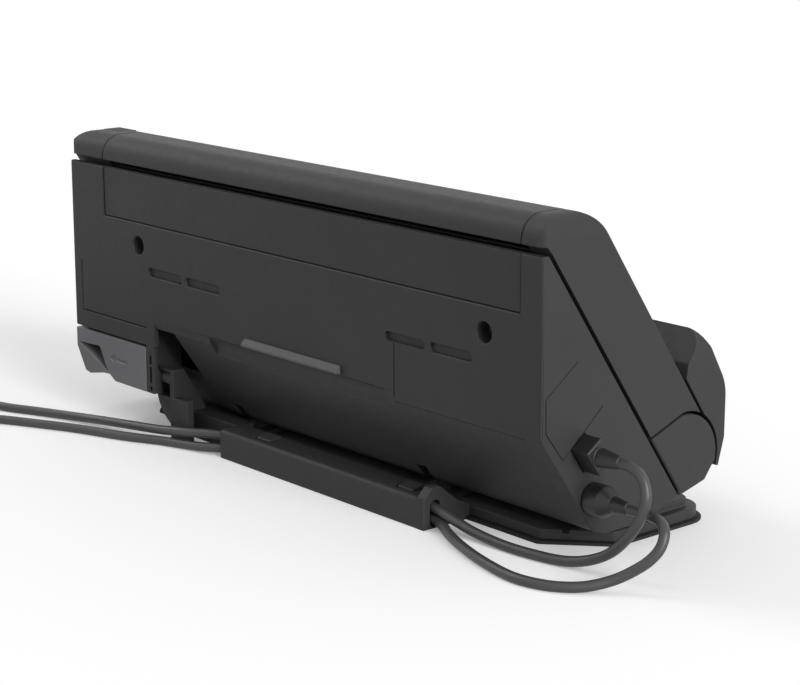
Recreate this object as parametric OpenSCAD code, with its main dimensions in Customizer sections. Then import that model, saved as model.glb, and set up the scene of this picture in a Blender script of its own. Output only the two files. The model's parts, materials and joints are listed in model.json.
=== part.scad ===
// Compact document scanner on a tilting stand, with its two leads.
// The front faces -Y and +Z is up. The origin is on the table, under the middle of the body's width.
// t runs down the slanted paper path from the top of the back shell, and d runs out of it to the front.

/* [Body] */
// Width of the body
body_w = 300; // [290:1:320]
// Height of the back shell's top edge
back_h = 116; // [114:0.5:120]
// Distance of the flat back behind the origin
back_y = 60; // [58:0.5:62]
// Lean of the paper path from the vertical, in degrees
path_lean = 35; // [34:0.5:36]
// Thickness of the rear half, square to the paper path
rear_t = 40; // [38:0.5:42]
// Thickness of the front half, square to the paper path
cover_t = 26.5; // [25.5:0.25:28]
// Wall of the moulded shells
wall = 2.5; // [2:0.1:3]
// Height of the body's sole above the table
sole_z = 9.3; // [9:0.1:10]
// Width of the end column that holds the buttons
column_w = 26; // [24:0.5:30]
// Width of the plain end cap
cap_w = 11; // [9:0.5:14]

/* [Top bar] */
// Gap between the back shell and the top bar
bar_gap = 3; // [2.6:0.1:3.6]
// Height of the top bar
bar_h = 10.3; // [10.1:0.1:11]
// Radius of the top bar's rear edge
bar_rear_r = 9.4; // [8:0.1:9.6]
// Radius of the top bar's front edge
bar_front_r = 14; // [10:0.5:16]

/* [Paper path] */
// Gap between the two guide plates
path_gap = 1.5; // [1.3:0.1:1.8]
// Width of the paper path
path_w = 222; // [218:1:226]
// Radius of the feed tyres
feed_r = 9; // [8.5:0.25:9.25]
// Radius of the drive tyres below the feed tyres
drive_r = 6; // [5.5:0.25:6.25]
// Radius of the pinch wheels
pinch_r = 5; // [4.5:0.5:5.5]
// Radius of the roller shafts
shaft_r = 2.5; // [2:0.25:3]
// Clearance of what turns or slides
run_gap = 0.4; // [0.3:0.05:0.6]

/* [Lower front] */
// Radius of the rounded lower housing
lobe_r = 17.5; // [16.5:0.25:18]
// Seam between the lower housing and the cover
lobe_gap = 1.2; // [1:0.1:1.6]

/* [Stand] */
// Width of the base
base_w = 286; // [280:1:292]
// Distance of the base's front edge in front of the origin
base_front = 38; // [36:0.5:42]
// Distance of the base's rear edge behind the origin
base_rear = 32; // [30:0.5:33]
// Height of the base's rim
base_h = 5.5; // [5:0.25:6]
// Height of the raised deck at the front
deck_h = 8.4; // [7.5:0.1:8.6]
// Thickness of the rubber foot under the base
foot_t = 1.2; // [1:0.1:1.5]
// Height of the tilt axis above the table
tilt_z = 26; // [25:0.5:28]
// Distance of the tilt axis behind the origin
tilt_y = 20; // [19:0.5:22]
// Radius of the tilt pins
tilt_pin_r = 3; // [2.5:0.25:3.5]

/* [Cable holder] */
// Length of the cable holder
holder_l = 126; // [110:1:130]
// Height of the cable holder
holder_h = 12.5; // [12:0.25:13]
// Depth of the cable holder
holder_d = 13; // [12.5:0.25:13.5]
// Wall of the cable holder
holder_wall = 1.6; // [1.4:0.1:1.8]

/* [Position selector] */
// Length of the selector's face
lever_l = 55; // [50:1:56]
// Height of the selector's face
lever_h = 20; // [18:0.5:21]
// Travel of the selector
lever_travel = 10; // [9:0.5:11]

/* [Leads] */
// Diameter of the USB lead
usb_d = 4; // [3.8:0.1:4.2]
// Diameter of the power lead
dc_d = 4; // [3.8:0.1:4.2]

/* [Hidden] */
$fn = 48;
arc_steps = 8;
overrun = 1;
half_w = body_w / 2;
lean_sin = sin(path_lean);
lean_cos = cos(path_lean);

// The seam between the two halves starts a little in front of the back's top edge.
seam_inset = 3;
seam_y = back_y - seam_inset;

// A place in the paper path's own directions, as [y, z]
function P(t, d) = [
  seam_y - t * lean_sin - d * lean_cos,
  back_h - t * lean_cos + d * lean_sin
];
function t_at_y(d, y) = (seam_y - d * lean_cos - y) / lean_sin;
function t_at_z(d, z) = (back_h + d * lean_sin - z) / lean_cos;
function unit(v) = v / norm(v);

// The points that round one corner b between its neighbours a and c
function corner_arc(a, b, c, r) =
  r <= 0 ? [b] :
  let (
    u = unit(a - b),
    v = unit(c - b),
    half = acos(max(-1, min(1, u * v))) / 2,
    centre = b + unit(u + v) * r / sin(half),
    start = b + u * r / tan(half) - centre,
    end = b + v * r / tan(half) - centre,
    first = atan2(start.y, start.x),
    turn = atan2(end.y, end.x) - first,
    sweep = turn > 180 ? turn - 360 : turn < -180 ? turn + 360 : turn
  )
  [for (i = [0:arc_steps]) centre + r * [cos(first + sweep * i / arc_steps), sin(first + sweep * i / arc_steps)]];

// An outline whose corners are given as [point, radius]
function rounded(corners) =
  let (n = len(corners))
  [for (i = [0:n - 1])
    each corner_arc(corners[(i + n - 1) % n][0], corners[i][0], corners[(i + 1) % n][0], corners[i][1])];

// A ring sector about a centre, from one angle to another
function arc(centre, r, from, to, steps = arc_steps * 2) =
  [for (i = [0:steps]) centre + r * [cos(from + (to - from) * i / steps), sin(from + (to - from) * i / steps)]];

// A section in Y and Z, drawn out along X
module span(x0, x1) translate([x0, 0, 0]) rotate([90, 0, 90]) linear_extrude(x1 - x0) children();
module rod(x0, x1, at, r) translate([x0, at.x, at.y]) rotate([0, 90, 0]) cylinder(r = r, h = x1 - x0);
module pin_y(y0, y1, x, z, r) translate([x, y1, z]) rotate([90, 0, 0]) cylinder(r = r, h = y1 - y0);
module block(low, high) translate(low) cube(high - low);

// A strip of the paper path's directions: x0 to x1, t0 to t1 down the path, d0 to d1 out of it
module path_block(x0, x1, t0, t1, d0, d1)
  span(x0, x1) polygon([P(t0, d0), P(t1, d0), P(t1, d1), P(t0, d1)]);

// Places of the rollers along the path
feed_t = 30;
upper_t = 50;
sensor_t = 64;
lower_t = 80;
exit_t = 106;
nip = 0.3;
path_mid = 0.65;
feed_at = P(feed_t, path_mid - feed_r);
upper_at = P(upper_t, path_mid - drive_r);
lower_at = P(lower_t, path_mid - drive_r);
exit_at = P(exit_t, path_mid - drive_r);
sep_r = 5.5;
sep_at = P(feed_t, path_mid + nip + sep_r);
upper_pinch_at = P(upper_t, path_mid + nip + pinch_r);
lower_pinch_at = P(lower_t, path_mid + nip + pinch_r);
exit_pinch_at = P(exit_t, path_mid + nip + pinch_r);

// The feed path isn't in the middle of the body: the button column takes room at the right
path_shift = 2.5;
path_x = -(column_w - cap_w) / 2 - path_shift;
plate_t = 1.5;
plate_gap = 0.3;
plate_side = [6, 4];
plate_left = path_x - path_w / 2 - plate_side[0];
plate_right = path_x + path_w / 2 + plate_side[1];
bore_gap = 0.05;

// The cover's hinge, in the middle of the lower housing
hinge_t = 113.4;
hinge_d = 10.3;
hinge_at = P(hinge_t, hinge_d);
hinge_r = 3;
cover_reach = lobe_r + lobe_gap;
function about_hinge(a, r) = P(hinge_t - r * sin(a), hinge_d + r * cos(a));

// The cover's faces
cover_back_d = path_gap;
seam_end_t = 122.5;
cap_left = -half_w + cap_w;
cap_right = half_w - column_w;
bar_z = back_h + bar_gap;
top_z = bar_z + bar_h;
tray_t = 58;
tray_d = 21.5;
wall_d = 18.5;

tilt_at = [tilt_y, tilt_z];
tilt_range = 30;

// The rear shell's outline, drawn in by inset, with its open side at seam_d
knee_r = 8;
heel_r = 12;
sole_r = 4;
edge_r = 1;
sole_front_y = 7;
function rear_outline(inset, seam_d) = rounded([
  [[back_y - inset, back_h - inset], edge_r],
  [P(t_at_y(inset - rear_t, back_y - inset), inset - rear_t), knee_r - inset],
  [P(t_at_z(inset - rear_t, sole_z + inset), inset - rear_t), heel_r - inset],
  [[sole_front_y, sole_z + inset], sole_r],
  [P(seam_end_t - inset, seam_d), edge_r],
  [P(t_at_z(seam_d, back_h - inset), seam_d), 0]
]);

// Places on the flat back
panel_left = cap_left;
panel_right = cap_right;
panel_low = 94.3;
panel_floor = 1.7;
panel_thick = 1.1;
panel_gap = 0.3;
screw_at = [[97.6, 84.5], [-120.5, 84.5]];
screw_well_r = 4;
screw_boss_r = 6;
screw_floor_y = back_y - 9;
screw_floor = 1.5;
screw_r = 1.5;
vent_z = 74;
vent_h = 3.6;
vents = [[65.8, 90.4], [38.6, 63], [-88.8, -66.1], [-114.3, -91.4]];
scoop_left = -65.2;
scoop_right = 46.6;
scoop_at = [back_y + 6, 45];
scoop_r = 10;
groove = 0.5;
groove_z = 49;
groove_top_z = 72;
groove_x = [[53, 143], [-141.9, -71.2]];

// The left pod, with the notch that the stand's arm swings into
pod_x = 87;
pod_z = 41;
strip_x0 = 88;
strip_x1 = 93.5;
strip_low_z = 20;
strip_thick = 2.5;
strip_slots = [[32.7, 36.8], [24.3, 31.8], [20.9, 22.9]];
strip_slot_w = 1.7;
web_thick = 1.1;
notch_x = 73;
notch_z = 49.6;
notch_y = 42;
bolt_r = 2.8;
bolt_reach = 31;
bolt_gap = 0.4;
bolt_at = tilt_at + [bolt_reach, 0];

// The tilt bosses on the shell's floor, and the slots that the base's ears pass
ear_x = 60;
ear_thick = 5;
ear_r = 5.5;
boss_r = 7;
boss_w = 5;
boss_gap = 0.5;
boss_web = 4;
ear_slot_y0 = tilt_y - ear_r - 2 * boss_gap;
ear_slot_y1 = tilt_y + (tilt_z - sole_z) * tan(tilt_range) + (ear_r + boss_gap) / cos(tilt_range);
ear_slot_z = sole_z + 3 * wall;

// The seam face's opening
mouth_side = [3, 13.5];
mouth_left = plate_left - mouth_side[0];
mouth_right = plate_right + plate_t + mouth_side[1];
mouth_t0 = 6;
mouth_t1 = 118;

// The sockets in the -X end
usb_at = [37.9, 42.3];
usb_w = 8.6;
usb_h = 11.5;
socket_gap = 0.2;
socket_wall = 1.4;
socket_depth = 9;
dc_at = [33.5, 24.5];
dc_hole_r = 4.3;
dc_barrel_r = 2.75;
end_groove = [[42, 76.3], [57.6, 65.1], [57.3, 52.4], [48.6, 41.2], [28.8, 57.9]];

module scoop_cut() rod(scoop_left, scoop_right, scoop_at, scoop_r);
module scoop_liner() rod(scoop_left - wall, scoop_right + wall, scoop_at, scoop_r + wall);

module vent_slots()
  for (v = vents)
    for (x = [v[0] + vent_h / 2, v[1] - vent_h / 2])
      union() {
        pin_y(back_y - wall - overrun, back_y + overrun, x, vent_z, vent_h / 2);
        block([v[0] + vent_h / 2, back_y - wall - overrun, vent_z - vent_h / 2],
              [v[1] - vent_h / 2, back_y + overrun, vent_z + vent_h / 2]);
      }

module tilt_boss(x0)
  union() {
    rod(x0, x0 + boss_w, tilt_at, boss_r);
    block([x0, tilt_y - boss_web, sole_z + wall / 2], [x0 + boss_w, tilt_y + boss_web, tilt_z]);
  }

module shell_solid()
  difference() {
    union() {
      span(-half_w, half_w) polygon(rear_outline(0, 0));
      span(pod_x, half_w) polygon([
        [back_y, pod_z],
        P(t_at_z(-rear_t, pod_z), -rear_t),
        P(t_at_y(-rear_t, back_y) - knee_r, -rear_t + knee_r),
        [back_y, notch_z + knee_r]
      ]);
    }
    difference() {
      span(-half_w + wall, half_w - wall) polygon(rear_outline(wall, -wall));
      scoop_liner();
      for (s = screw_at) pin_y(screw_floor_y, back_y, s.x, s.y, screw_boss_r);
      for (side = [-1, 1]) for (in = [-1, 1])
        tilt_boss(side * ear_x + in * (ear_thick / 2 + boss_gap + boss_w / 2) - boss_w / 2);
      for (x = board_posts_x) for (z = board_posts_z)
        pin_y(board_y + board_thick, back_y, x, z, board_post_r);
    }
    path_block(mouth_left, mouth_right, mouth_t0, mouth_t1, -wall - overrun, overrun);
    scoop_cut();
    vent_slots();
    block([panel_left, back_y - panel_floor, panel_low], [panel_right, back_y + overrun, back_h + overrun]);
    for (s = screw_at) {
      pin_y(screw_floor_y + screw_floor, back_y + overrun, s.x, s.y, screw_well_r);
      pin_y(screw_floor_y - overrun, back_y, s.x, s.y, screw_r + bore_gap);
    }
    block([notch_x, notch_y, 0], [strip_x1, back_y + overrun, notch_z]);
    for (side = [-1, 1])
      block([side * ear_x - ear_thick / 2 - boss_gap, ear_slot_y0, 0],
            [side * ear_x + ear_thick / 2 + boss_gap, ear_slot_y1, ear_slot_z]);
    for (g = groove_x)
      block([g[0], back_y - 2 * groove - (knee_r - knee_r * cos(path_lean / 2)), groove_z - groove / 2],
            [g[1], back_y + overrun, groove_z + groove / 2]);
    for (x = [groove_x[0][1], groove_x[1][1]])
      block([x - groove, back_y - groove, groove_z], [x, back_y + overrun, groove_top_z]);
  }

module rear_shell()
  color([0.15, 0.15, 0.155])
    difference() {
      union() {
        shell_solid();
        block([pod_x, back_y - strip_thick, pod_z], [strip_x1, back_y, notch_z + wall]);
        block([strip_x0, back_y - strip_thick, strip_low_z], [strip_x1, back_y, pod_z + wall]);
        span(strip_x1 - web_thick, strip_x1) polygon([
          [notch_y, notch_z + wall / 2], [back_y, notch_z + wall / 2], [back_y, strip_low_z],
          P(t_at_z(-rear_t, strip_low_z), -rear_t), P(t_at_y(wall - rear_t, notch_y), wall - rear_t)
        ]);
      }
      for (s = strip_slots)
        block([(strip_x0 + strip_x1 - strip_slot_w) / 2, back_y - strip_thick - overrun, s[0]],
              [(strip_x0 + strip_x1 + strip_slot_w) / 2, back_y + overrun, s[1]]);
      rod(strip_x1 - web_thick - overrun, strip_x1 + overrun, bolt_at, bolt_r + bolt_gap);
      for (side = [-1, 1])
        rod(side * ear_x - ear_thick * 2, side * ear_x + ear_thick * 2, tilt_at, tilt_pin_r + bore_gap);
      translate([0, usb_at.x, usb_at.y]) rotate([-path_lean, 0, 0])
        block([-half_w - overrun, -usb_w / 2 - socket_gap, -usb_h / 2 - socket_gap],
              [-half_w + wall + overrun, usb_w / 2 + socket_gap, usb_h / 2 + socket_gap]);
      rod(-half_w - overrun, -half_w + wall + overrun, dc_at, dc_hole_r);
      span(-half_w - overrun, -half_w + groove)
        for (i = [0:len(end_groove) - 2])
          groove_line(end_groove[i], end_groove[i + 1]);
    }

module groove_line(a, b)
  polygon([
    a + groove / 2 * [-unit(b - a).y, unit(b - a).x], b + groove / 2 * [-unit(b - a).y, unit(b - a).x],
    b - groove / 2 * [-unit(b - a).y, unit(b - a).x], a - groove / 2 * [-unit(b - a).y, unit(b - a).x]
  ]);

// The board behind the back wall, on four posts of the shell
board_y = 54.5;
board_thick = 1.6;
board_x = [-112, -46];
board_z = [60, 104];
board_inset = 4;
board_post_r = 2.5;
board_posts_x = [board_x[0] + board_inset, board_x[1] - board_inset];
board_posts_z = [board_z[0] + board_inset, board_z[1] - board_inset];
chips = [
  [-104, 66, 12, 12, 2.2], [-84, 66, 16, 16, 2.2], [-62, 68, 9, 9, 1.8], [-106, 93, 18, 6, 3], [-72, 94, 14, 6, 3]
];

module main_board()
  color([0.1, 0.33, 0.2])
    union() {
      block([board_x[0], board_y, board_z[0]], [board_x[1], board_y + board_thick, board_z[1]]);
      for (c = chips) block([c[0], board_y - c[4], c[1]], [c[0] + c[2], board_y, c[1] + c[3]]);
    }

// The rest pad's section, standing proud of the back above the scoop
pad_left = -40;
pad_right = 21;
pad_top_z = 57.2;
pad_low_z = 53.4;
pad_proud = 3;
pad_edge = 0.8;
module rest_pad()
  color([0.3, 0.3, 0.305])
    span(pad_left, pad_right) polygon([
      [back_y, pad_top_z], [back_y + pad_edge, pad_top_z], [back_y + pad_proud, pad_low_z + 2 * pad_edge],
      [back_y + pad_proud, pad_low_z + pad_edge], [back_y, pad_low_z]
    ]);

module rear_panel()
  color([0.16, 0.16, 0.165])
    block([panel_left + panel_gap, back_y - panel_floor, panel_low + panel_gap],
          [panel_right - panel_gap, back_y - panel_floor + panel_thick, back_h - panel_gap]);

// Each screw passes the well's floor and the side plate's tab
screw_head_r = 3;
screw_head_h = 2;
screw_slot_share = 0.6;
tab_thick = 1.4;
module back_screws()
  color([0.55, 0.55, 0.57])
    for (s = screw_at)
      union() {
        pin_y(screw_floor_y - tab_thick, screw_floor_y + screw_floor, s.x, s.y, screw_r);
        difference() {
          pin_y(screw_floor_y + screw_floor, screw_floor_y + screw_floor + screw_head_h, s.x, s.y, screw_head_r);
          for (turn = [0, 90])
            translate([s.x, screw_floor_y + screw_floor + screw_head_h, s.y]) rotate([0, turn, 0])
              block([-screw_head_r * screw_slot_share, -groove, -groove / 2],
                    [screw_head_r * screw_slot_share, overrun, groove / 2]);
        }
      }

// The lower front housing, which the cover turns about
lobe_top_t = 93.5;
lobe_corner_t = 98;
lobe_heel = [[-28.1, 18.8], [-14.2, 15.3]];
heel_share = 0.4;
lobe_seam = 1.3;
arm_w = 5;
arm_r = 6;
arm_side_gap = [4, 11];
arm_x = [plate_left - arm_side_gap[0] - arm_w, plate_right + plate_t + arm_side_gap[1]];
lobe_angle = [61.7, -46];
lobe_end = 1.95;
function lobe_outline(inset) = rounded([
  [P(lobe_top_t + inset, lobe_seam + inset), edge_r],
  each [for (i = [0:arc_steps * 2])
    [about_hinge(lobe_angle[0] + (lobe_angle[1] - lobe_angle[0]) * i / (arc_steps * 2), lobe_r - inset), 0]],
  [lobe_heel[0] + inset * [heel_share, 1], edge_r],
  [lobe_heel[1] + inset * [0, 1], edge_r],
  [P(seam_end_t - lobe_end - inset, lobe_seam + inset), edge_r]
]);

pinch_w = 10;
pinch_shaft_r = 1.5;
drive_w = 16;
feed_w = 24;
drive_offsets = [-90, -36, 20, 74];
feed_offsets = [-30, 6];
rib_gap = 0.3;
rib_w = 2;
neck_t = [99, 117];

module lower_front_housing()
  color([0.26, 0.26, 0.265])
    union() {
      difference() {
        span(-half_w, half_w) polygon(lobe_outline(0));
        span(-half_w + wall, half_w - wall) polygon(lobe_outline(wall));
        for (o = drive_offsets)
          path_block(path_x + o, path_x + o + drive_w, exit_t - pinch_r - overrun, exit_t + pinch_r + overrun,
                     0, lobe_seam + wall + overrun);
        for (x = arm_x) arm_sweep(x - rib_gap * 2, x + arm_w + rib_gap * 2);
        for (x = [plate_left, plate_right])
          path_block(x - rib_gap, x + plate_t + rib_gap, neck_t[0] - rib_gap, neck_t[1] + rib_gap,
                     0, lobe_seam + wall + overrun);
      }
      for (x = [plate_left + plate_t + rib_gap, plate_right - rib_gap - rib_w])
        difference() {
          span(x, x + rib_w) polygon(lobe_outline(wall / 2));
          rod(x - overrun, x + rib_w + overrun, exit_pinch_at, pinch_r);
          rod(x - overrun, x + rib_w + overrun, hinge_at, hinge_r + overrun);
        }
    }

// The room that a hinge arm sweeps as the cover opens
arm_sweep_angle = [-22, 114];
arm_sweep_share = 1.4;
module arm_sweep(x0, x1)
  span(x0, x1) polygon([
    P(hinge_t + arm_r, hinge_d - arm_r),
    each [for (i = [0:arc_steps])
      about_hinge(arm_sweep_angle[0] + (arm_sweep_angle[1] - arm_sweep_angle[0]) * i / arc_steps,
                  arm_sweep_share * cover_reach)]
  ]);

// The rear guide plate, with a window for each tyre and for the sensor's glass
guide_t = 2;
guide_gap = 0.3;
sensor_w = 13;
glass_w = 9;
glass_t = 1.8;
drive_lid_d = 0.6;
plate_top_t = 19;
function window_half(r) = sqrt(r * r - pow(r - path_mid - guide_t, 2)) + 2 * run_gap;
module drive_windows(t, r, d0, d1)
  for (o = drive_offsets)
    path_block(path_x + o - run_gap * 2, path_x + o + drive_w + run_gap * 2, t - window_half(r), t + window_half(r),
               d0, d1);
module feed_windows(r, d0, d1)
  for (o = feed_offsets)
    path_block(path_x + o - run_gap * 2, path_x + o + feed_w + run_gap * 2, feed_t - window_half(r),
               feed_t + window_half(r), d0, d1);

module main_guide()
  color([0.2, 0.2, 0.205])
    difference() {
      union() {
        path_block(plate_left + plate_t + guide_gap, plate_right - guide_gap, mouth_t0 + guide_gap,
                   mouth_t1 - guide_gap, -guide_t, 0);
        path_block(plate_right - rib_w, mouth_right - guide_gap, mouth_t0 + guide_gap, plate_top_t - guide_gap,
                   -drive_lid_d, 0);
        path_block(plate_right + plate_t + guide_gap, mouth_right - guide_gap, mouth_t0 + guide_gap,
                   mouth_t1 - guide_gap, -drive_lid_d, drive_lid_d);
      }
      feed_windows(feed_r, -guide_t - overrun, overrun);
      for (t = [upper_t, lower_t, exit_t]) drive_windows(t, drive_r, -guide_t - overrun, overrun);
      path_block(path_x - path_w / 2, path_x + path_w / 2, sensor_t - glass_w / 2, sensor_t + glass_w / 2,
                 -guide_t - overrun, overrun);
    }

rear_sensor_deep = 14;
sensor_over = 0.8;
sensor_gap = 0.1;
module sensor_bar(d0, d1)
  path_block(path_x - path_w / 2 - sensor_over, path_x + path_w / 2 + sensor_over,
             sensor_t - sensor_w / 2, sensor_t + sensor_w / 2, d0, d1);
module sensor_glass(d0, d1)
  path_block(path_x - path_w / 2 + rib_gap, path_x + path_w / 2 - rib_gap,
             sensor_t - glass_w / 2 + rib_gap, sensor_t + glass_w / 2 - rib_gap, d0, d1);
module rear_sensor() color([0.09, 0.09, 0.1]) sensor_bar(-guide_t - sensor_gap - rear_sensor_deep, -guide_t - sensor_gap);
module rear_sensor_glass() color([0.5, 0.62, 0.66]) sensor_glass(-guide_t, -guide_t + glass_t);

// The two steel plates that carry the rollers, and reach through the seam into the lower housing
plate_deep_t = 70;
plate_d = 25;
tongue_d = hinge_d + arm_r;
module chassis_plate(x, side)
  union() {
    difference() {
      span(x, x + plate_t)
        union() {
          intersection() {
            polygon(rear_outline(wall + plate_gap, 0));
            polygon([P(plate_top_t, -plate_gap), P(neck_t[1], -plate_gap), P(neck_t[1], -rear_t),
                     P(plate_deep_t, -rear_t), P(plate_deep_t, -plate_d), P(plate_top_t, -plate_d)]);
          }
          polygon([P(neck_t[0], -wall), P(neck_t[1], -wall), P(neck_t[1], lobe_seam + 2 * wall),
                   P(neck_t[0], lobe_seam + 2 * wall)]);
          intersection() {
            polygon(lobe_outline(wall + plate_gap));
            polygon([P(neck_t[0], lobe_seam), P(seam_end_t, lobe_seam), P(seam_end_t, tongue_d),
                     P(neck_t[0], tongue_d)]);
          }
        }
      for (s = screw_at)
        pin_y(screw_floor_y - tab_gap, back_y + overrun, s.x, s.y, screw_boss_r + plate_gap);
      for (at = [feed_at, upper_at, lower_at, exit_at])
        rod(x - overrun, x + plate_t + overrun, at, shaft_r + bore_gap);
      rod(x - overrun, x + plate_t + overrun, exit_pinch_at, pinch_shaft_r + bore_gap);
      rod(x - overrun, x + plate_t + overrun, hinge_at, hinge_r);
    }
    difference() {
      block([side > 0 ? x - tab_reach : x, screw_floor_y - tab_thick, tab_z[0]],
            [side > 0 ? x + plate_t : x + tab_reach + plate_t, screw_floor_y - tab_gap, tab_z[1]]);
      for (s = screw_at)
        pin_y(screw_floor_y - tab_thick - overrun, screw_floor_y + overrun, s.x, s.y, screw_r + bore_gap);
    }
  }
tab_reach = 12;
tab_gap = 0.1;
tab_z = [79, 89];
module chassis_plates()
  color([0.62, 0.63, 0.65]) {
    chassis_plate(plate_left, -1);
    chassis_plate(plate_right, 1);
  }

// The drive: each belt runs in its own plane beside the right-hand plate
pulley_share = 0.6;
pulley_w = 2;
pulley_pitch = 3;
belt_t = 0.8;
belt_gap = 0.15;
pulley_side = 1.5;
pulley_x = plate_right + plate_t + pulley_side;
shaft_over = 2;
shaft_left = plate_left - shaft_over;
motor_at = P(55, -16);
motor_r = 12;
motor_shaft_r = 1.5;
motor_gap = 0.3;

module pulley(plane, at, r) rod(pulley_x + plane * pulley_pitch, pulley_x + plane * pulley_pitch + pulley_w, at, r);
module drive_shaft(at, r, planes)
  union() {
    rod(shaft_left, pulley_x + max(planes) * pulley_pitch + pulley_w + 2 * run_gap, at, shaft_r);
    for (p = planes) pulley(p, at, r * pulley_share);
  }
module tyre(x, w, at, r, bore)
  difference() {
    rod(x, x + w, at, r);
    rod(x - overrun, x + w + overrun, at, bore);
  }
module drive_tyres(at)
  color([0.12, 0.12, 0.12])
    for (o = drive_offsets) tyre(path_x + o, drive_w, at, drive_r, shaft_r);

module feed_shaft() color([0.7, 0.71, 0.73]) drive_shaft(feed_at, feed_r, [0]);
module upper_shaft() color([0.7, 0.71, 0.73]) drive_shaft(upper_at, drive_r, [0, 1]);
module lower_shaft() color([0.7, 0.71, 0.73]) drive_shaft(lower_at, drive_r, [1, 2, 3]);
module exit_shaft() color([0.7, 0.71, 0.73]) drive_shaft(exit_at, drive_r, [2]);
module feed_tyres()
  color([0.12, 0.12, 0.12])
    for (o = feed_offsets) tyre(path_x + o, feed_w, feed_at, feed_r, shaft_r);
module upper_tyres() drive_tyres(upper_at);
module lower_tyres() drive_tyres(lower_at);
module exit_tyres() drive_tyres(exit_at);

module drive_motor()
  color([0.5, 0.5, 0.52])
    union() {
      rod(pulley_x + 4 * pulley_pitch + pulley_w, half_w - wall - motor_gap, motor_at, motor_r);
      rod(pulley_x + 3 * pulley_pitch, pulley_x + 4 * pulley_pitch + pulley_w + overrun, motor_at, motor_shaft_r);
      pulley(3, motor_at, drive_r * pulley_share);
    }

// The outline of a belt round two pulleys, at a given distance from them
function belt_outline(a, ra, b, rb, out) =
  let (
    way = atan2(b.y - a.y, b.x - a.x),
    open = acos((ra - rb) / norm(b - a))
  )
  concat(arc(a, ra + out, way + open, way + 360 - open), arc(b, rb + out, way - open, way + open));
module belt(plane, a, ra, b, rb)
  span(pulley_x + plane * pulley_pitch, pulley_x + plane * pulley_pitch + pulley_w)
    difference() {
      polygon(belt_outline(a, ra * pulley_share, b, rb * pulley_share, belt_gap + belt_t));
      polygon(belt_outline(a, ra * pulley_share, b, rb * pulley_share, belt_gap));
    }
module drive_belts()
  color([0.08, 0.08, 0.08]) {
    belt(0, feed_at, feed_r, upper_at, drive_r);
    belt(1, upper_at, drive_r, lower_at, drive_r);
    belt(2, lower_at, drive_r, exit_at, drive_r);
    belt(3, motor_at, drive_r, lower_at, drive_r);
  }

// Pinch rollers: a thin shaft with a wheel at each drive tyre
rib_side = 3;
rib_left = plate_left + rib_side;
rib_right = plate_right - rib_side;
pinch_inset = (drive_w - pinch_w) / 2;
module pinch_set(at, x0, x1)
  color([0.72, 0.72, 0.7])
    union() {
      rod(x0, x1, at, pinch_shaft_r);
      for (o = drive_offsets) rod(path_x + o + pinch_inset, path_x + o + pinch_inset + pinch_w, at, pinch_r);
    }
module exit_pinch_rollers() pinch_set(exit_pinch_at, plate_left - run_gap, plate_right + plate_t + run_gap);
module upper_pinch_rollers() pinch_set(upper_pinch_at, rib_left - run_gap, rib_right + rib_w + run_gap);
module lower_pinch_rollers() pinch_set(lower_pinch_at, rib_left - run_gap, rib_right + rib_w + run_gap);
sep_hub_r = 3.5;
module separation_hub()
  color([0.8, 0.8, 0.78])
    union() {
      rod(rib_left - run_gap, rib_right + rib_w + run_gap, sep_at, pinch_shaft_r);
      for (o = feed_offsets) rod(path_x + o - run_gap, path_x + o + feed_w + run_gap, sep_at, sep_hub_r);
    }
module separation_tyres()
  color([0.35, 0.2, 0.16])
    for (o = feed_offsets) tyre(path_x + o, feed_w, sep_at, sep_r, sep_hub_r);

module cover_hinge_pins()
  color([0.7, 0.71, 0.73]) {
    rod(arm_x[0] - overrun, plate_left + plate_t + run_gap, hinge_at, hinge_r);
    rod(plate_right - run_gap, arm_x[1] + arm_w + overrun, hinge_at, hinge_r);
  }

// Sockets behind the -X end wall
dc_socket_wall = 1.2;
module in_usb() translate([0, usb_at.x, usb_at.y]) rotate([-path_lean, 0, 0]) children();
module usb_socket()
  color([0.75, 0.76, 0.78])
    in_usb()
      difference() {
        block([-half_w + wall, -usb_w / 2 - socket_wall, -usb_h / 2 - socket_wall],
              [-half_w + wall + socket_depth + socket_wall, usb_w / 2 + socket_wall, usb_h / 2 + socket_wall]);
        block([-half_w + wall - overrun, -usb_w / 2 - socket_gap, -usb_h / 2 - socket_gap],
              [-half_w + wall + socket_depth, usb_w / 2 + socket_gap, usb_h / 2 + socket_gap]);
      }
module dc_socket()
  color([0.1, 0.1, 0.1])
    difference() {
      rod(-half_w + wall, -half_w + wall + socket_depth + socket_wall, dc_at, dc_barrel_r + dc_socket_wall);
      rod(-half_w + wall - overrun, -half_w + wall + socket_depth, dc_at, dc_barrel_r + socket_gap);
    }

// The cover: two end caps with the same outline, joined by a front wall, a top wall and two ribs
cap_angle = acos((cover_t - hinge_d) / cover_reach);
bar_front_y = seam_y - t_at_z(cover_t, top_z) * lean_sin - cover_t * lean_cos;
small_r = 0.6;
cap_outline = rounded([
  [[back_y, bar_z], small_r],
  [[back_y, top_z], bar_rear_r],
  [[bar_front_y, top_z], bar_front_r],
  each [for (i = [0:arc_steps]) [about_hinge(cap_angle + (lobe_angle[0] - cap_angle) * i / arc_steps, cover_reach), 0]],
  [P(lobe_top_t - lobe_gap, cover_back_d), small_r],
  [P(t_at_z(cover_back_d, bar_z), cover_back_d), 0]
]);
guide_room = 2.1;
inner_d = cover_back_d + guide_room;
wall_top_t = 96;
wall_relief = 0.4;
lid_thick = 2.5;
rib_t = [16, 92];
pocket_t = [19.6, 43];
pocket_half = 108;
pocket_x = [path_x - pocket_half, path_x + pocket_half];
pocket_d = 13.9;
pocket_wall = 1.4;
arm_top_t = 84;
arm_foot_t = 95;
arm_half = 5.6;
panel_side = 2;
panel_x = [cap_right + panel_side, half_w - panel_side];
panel_t = [22, 84];
panel_deep = 0.8;
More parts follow.
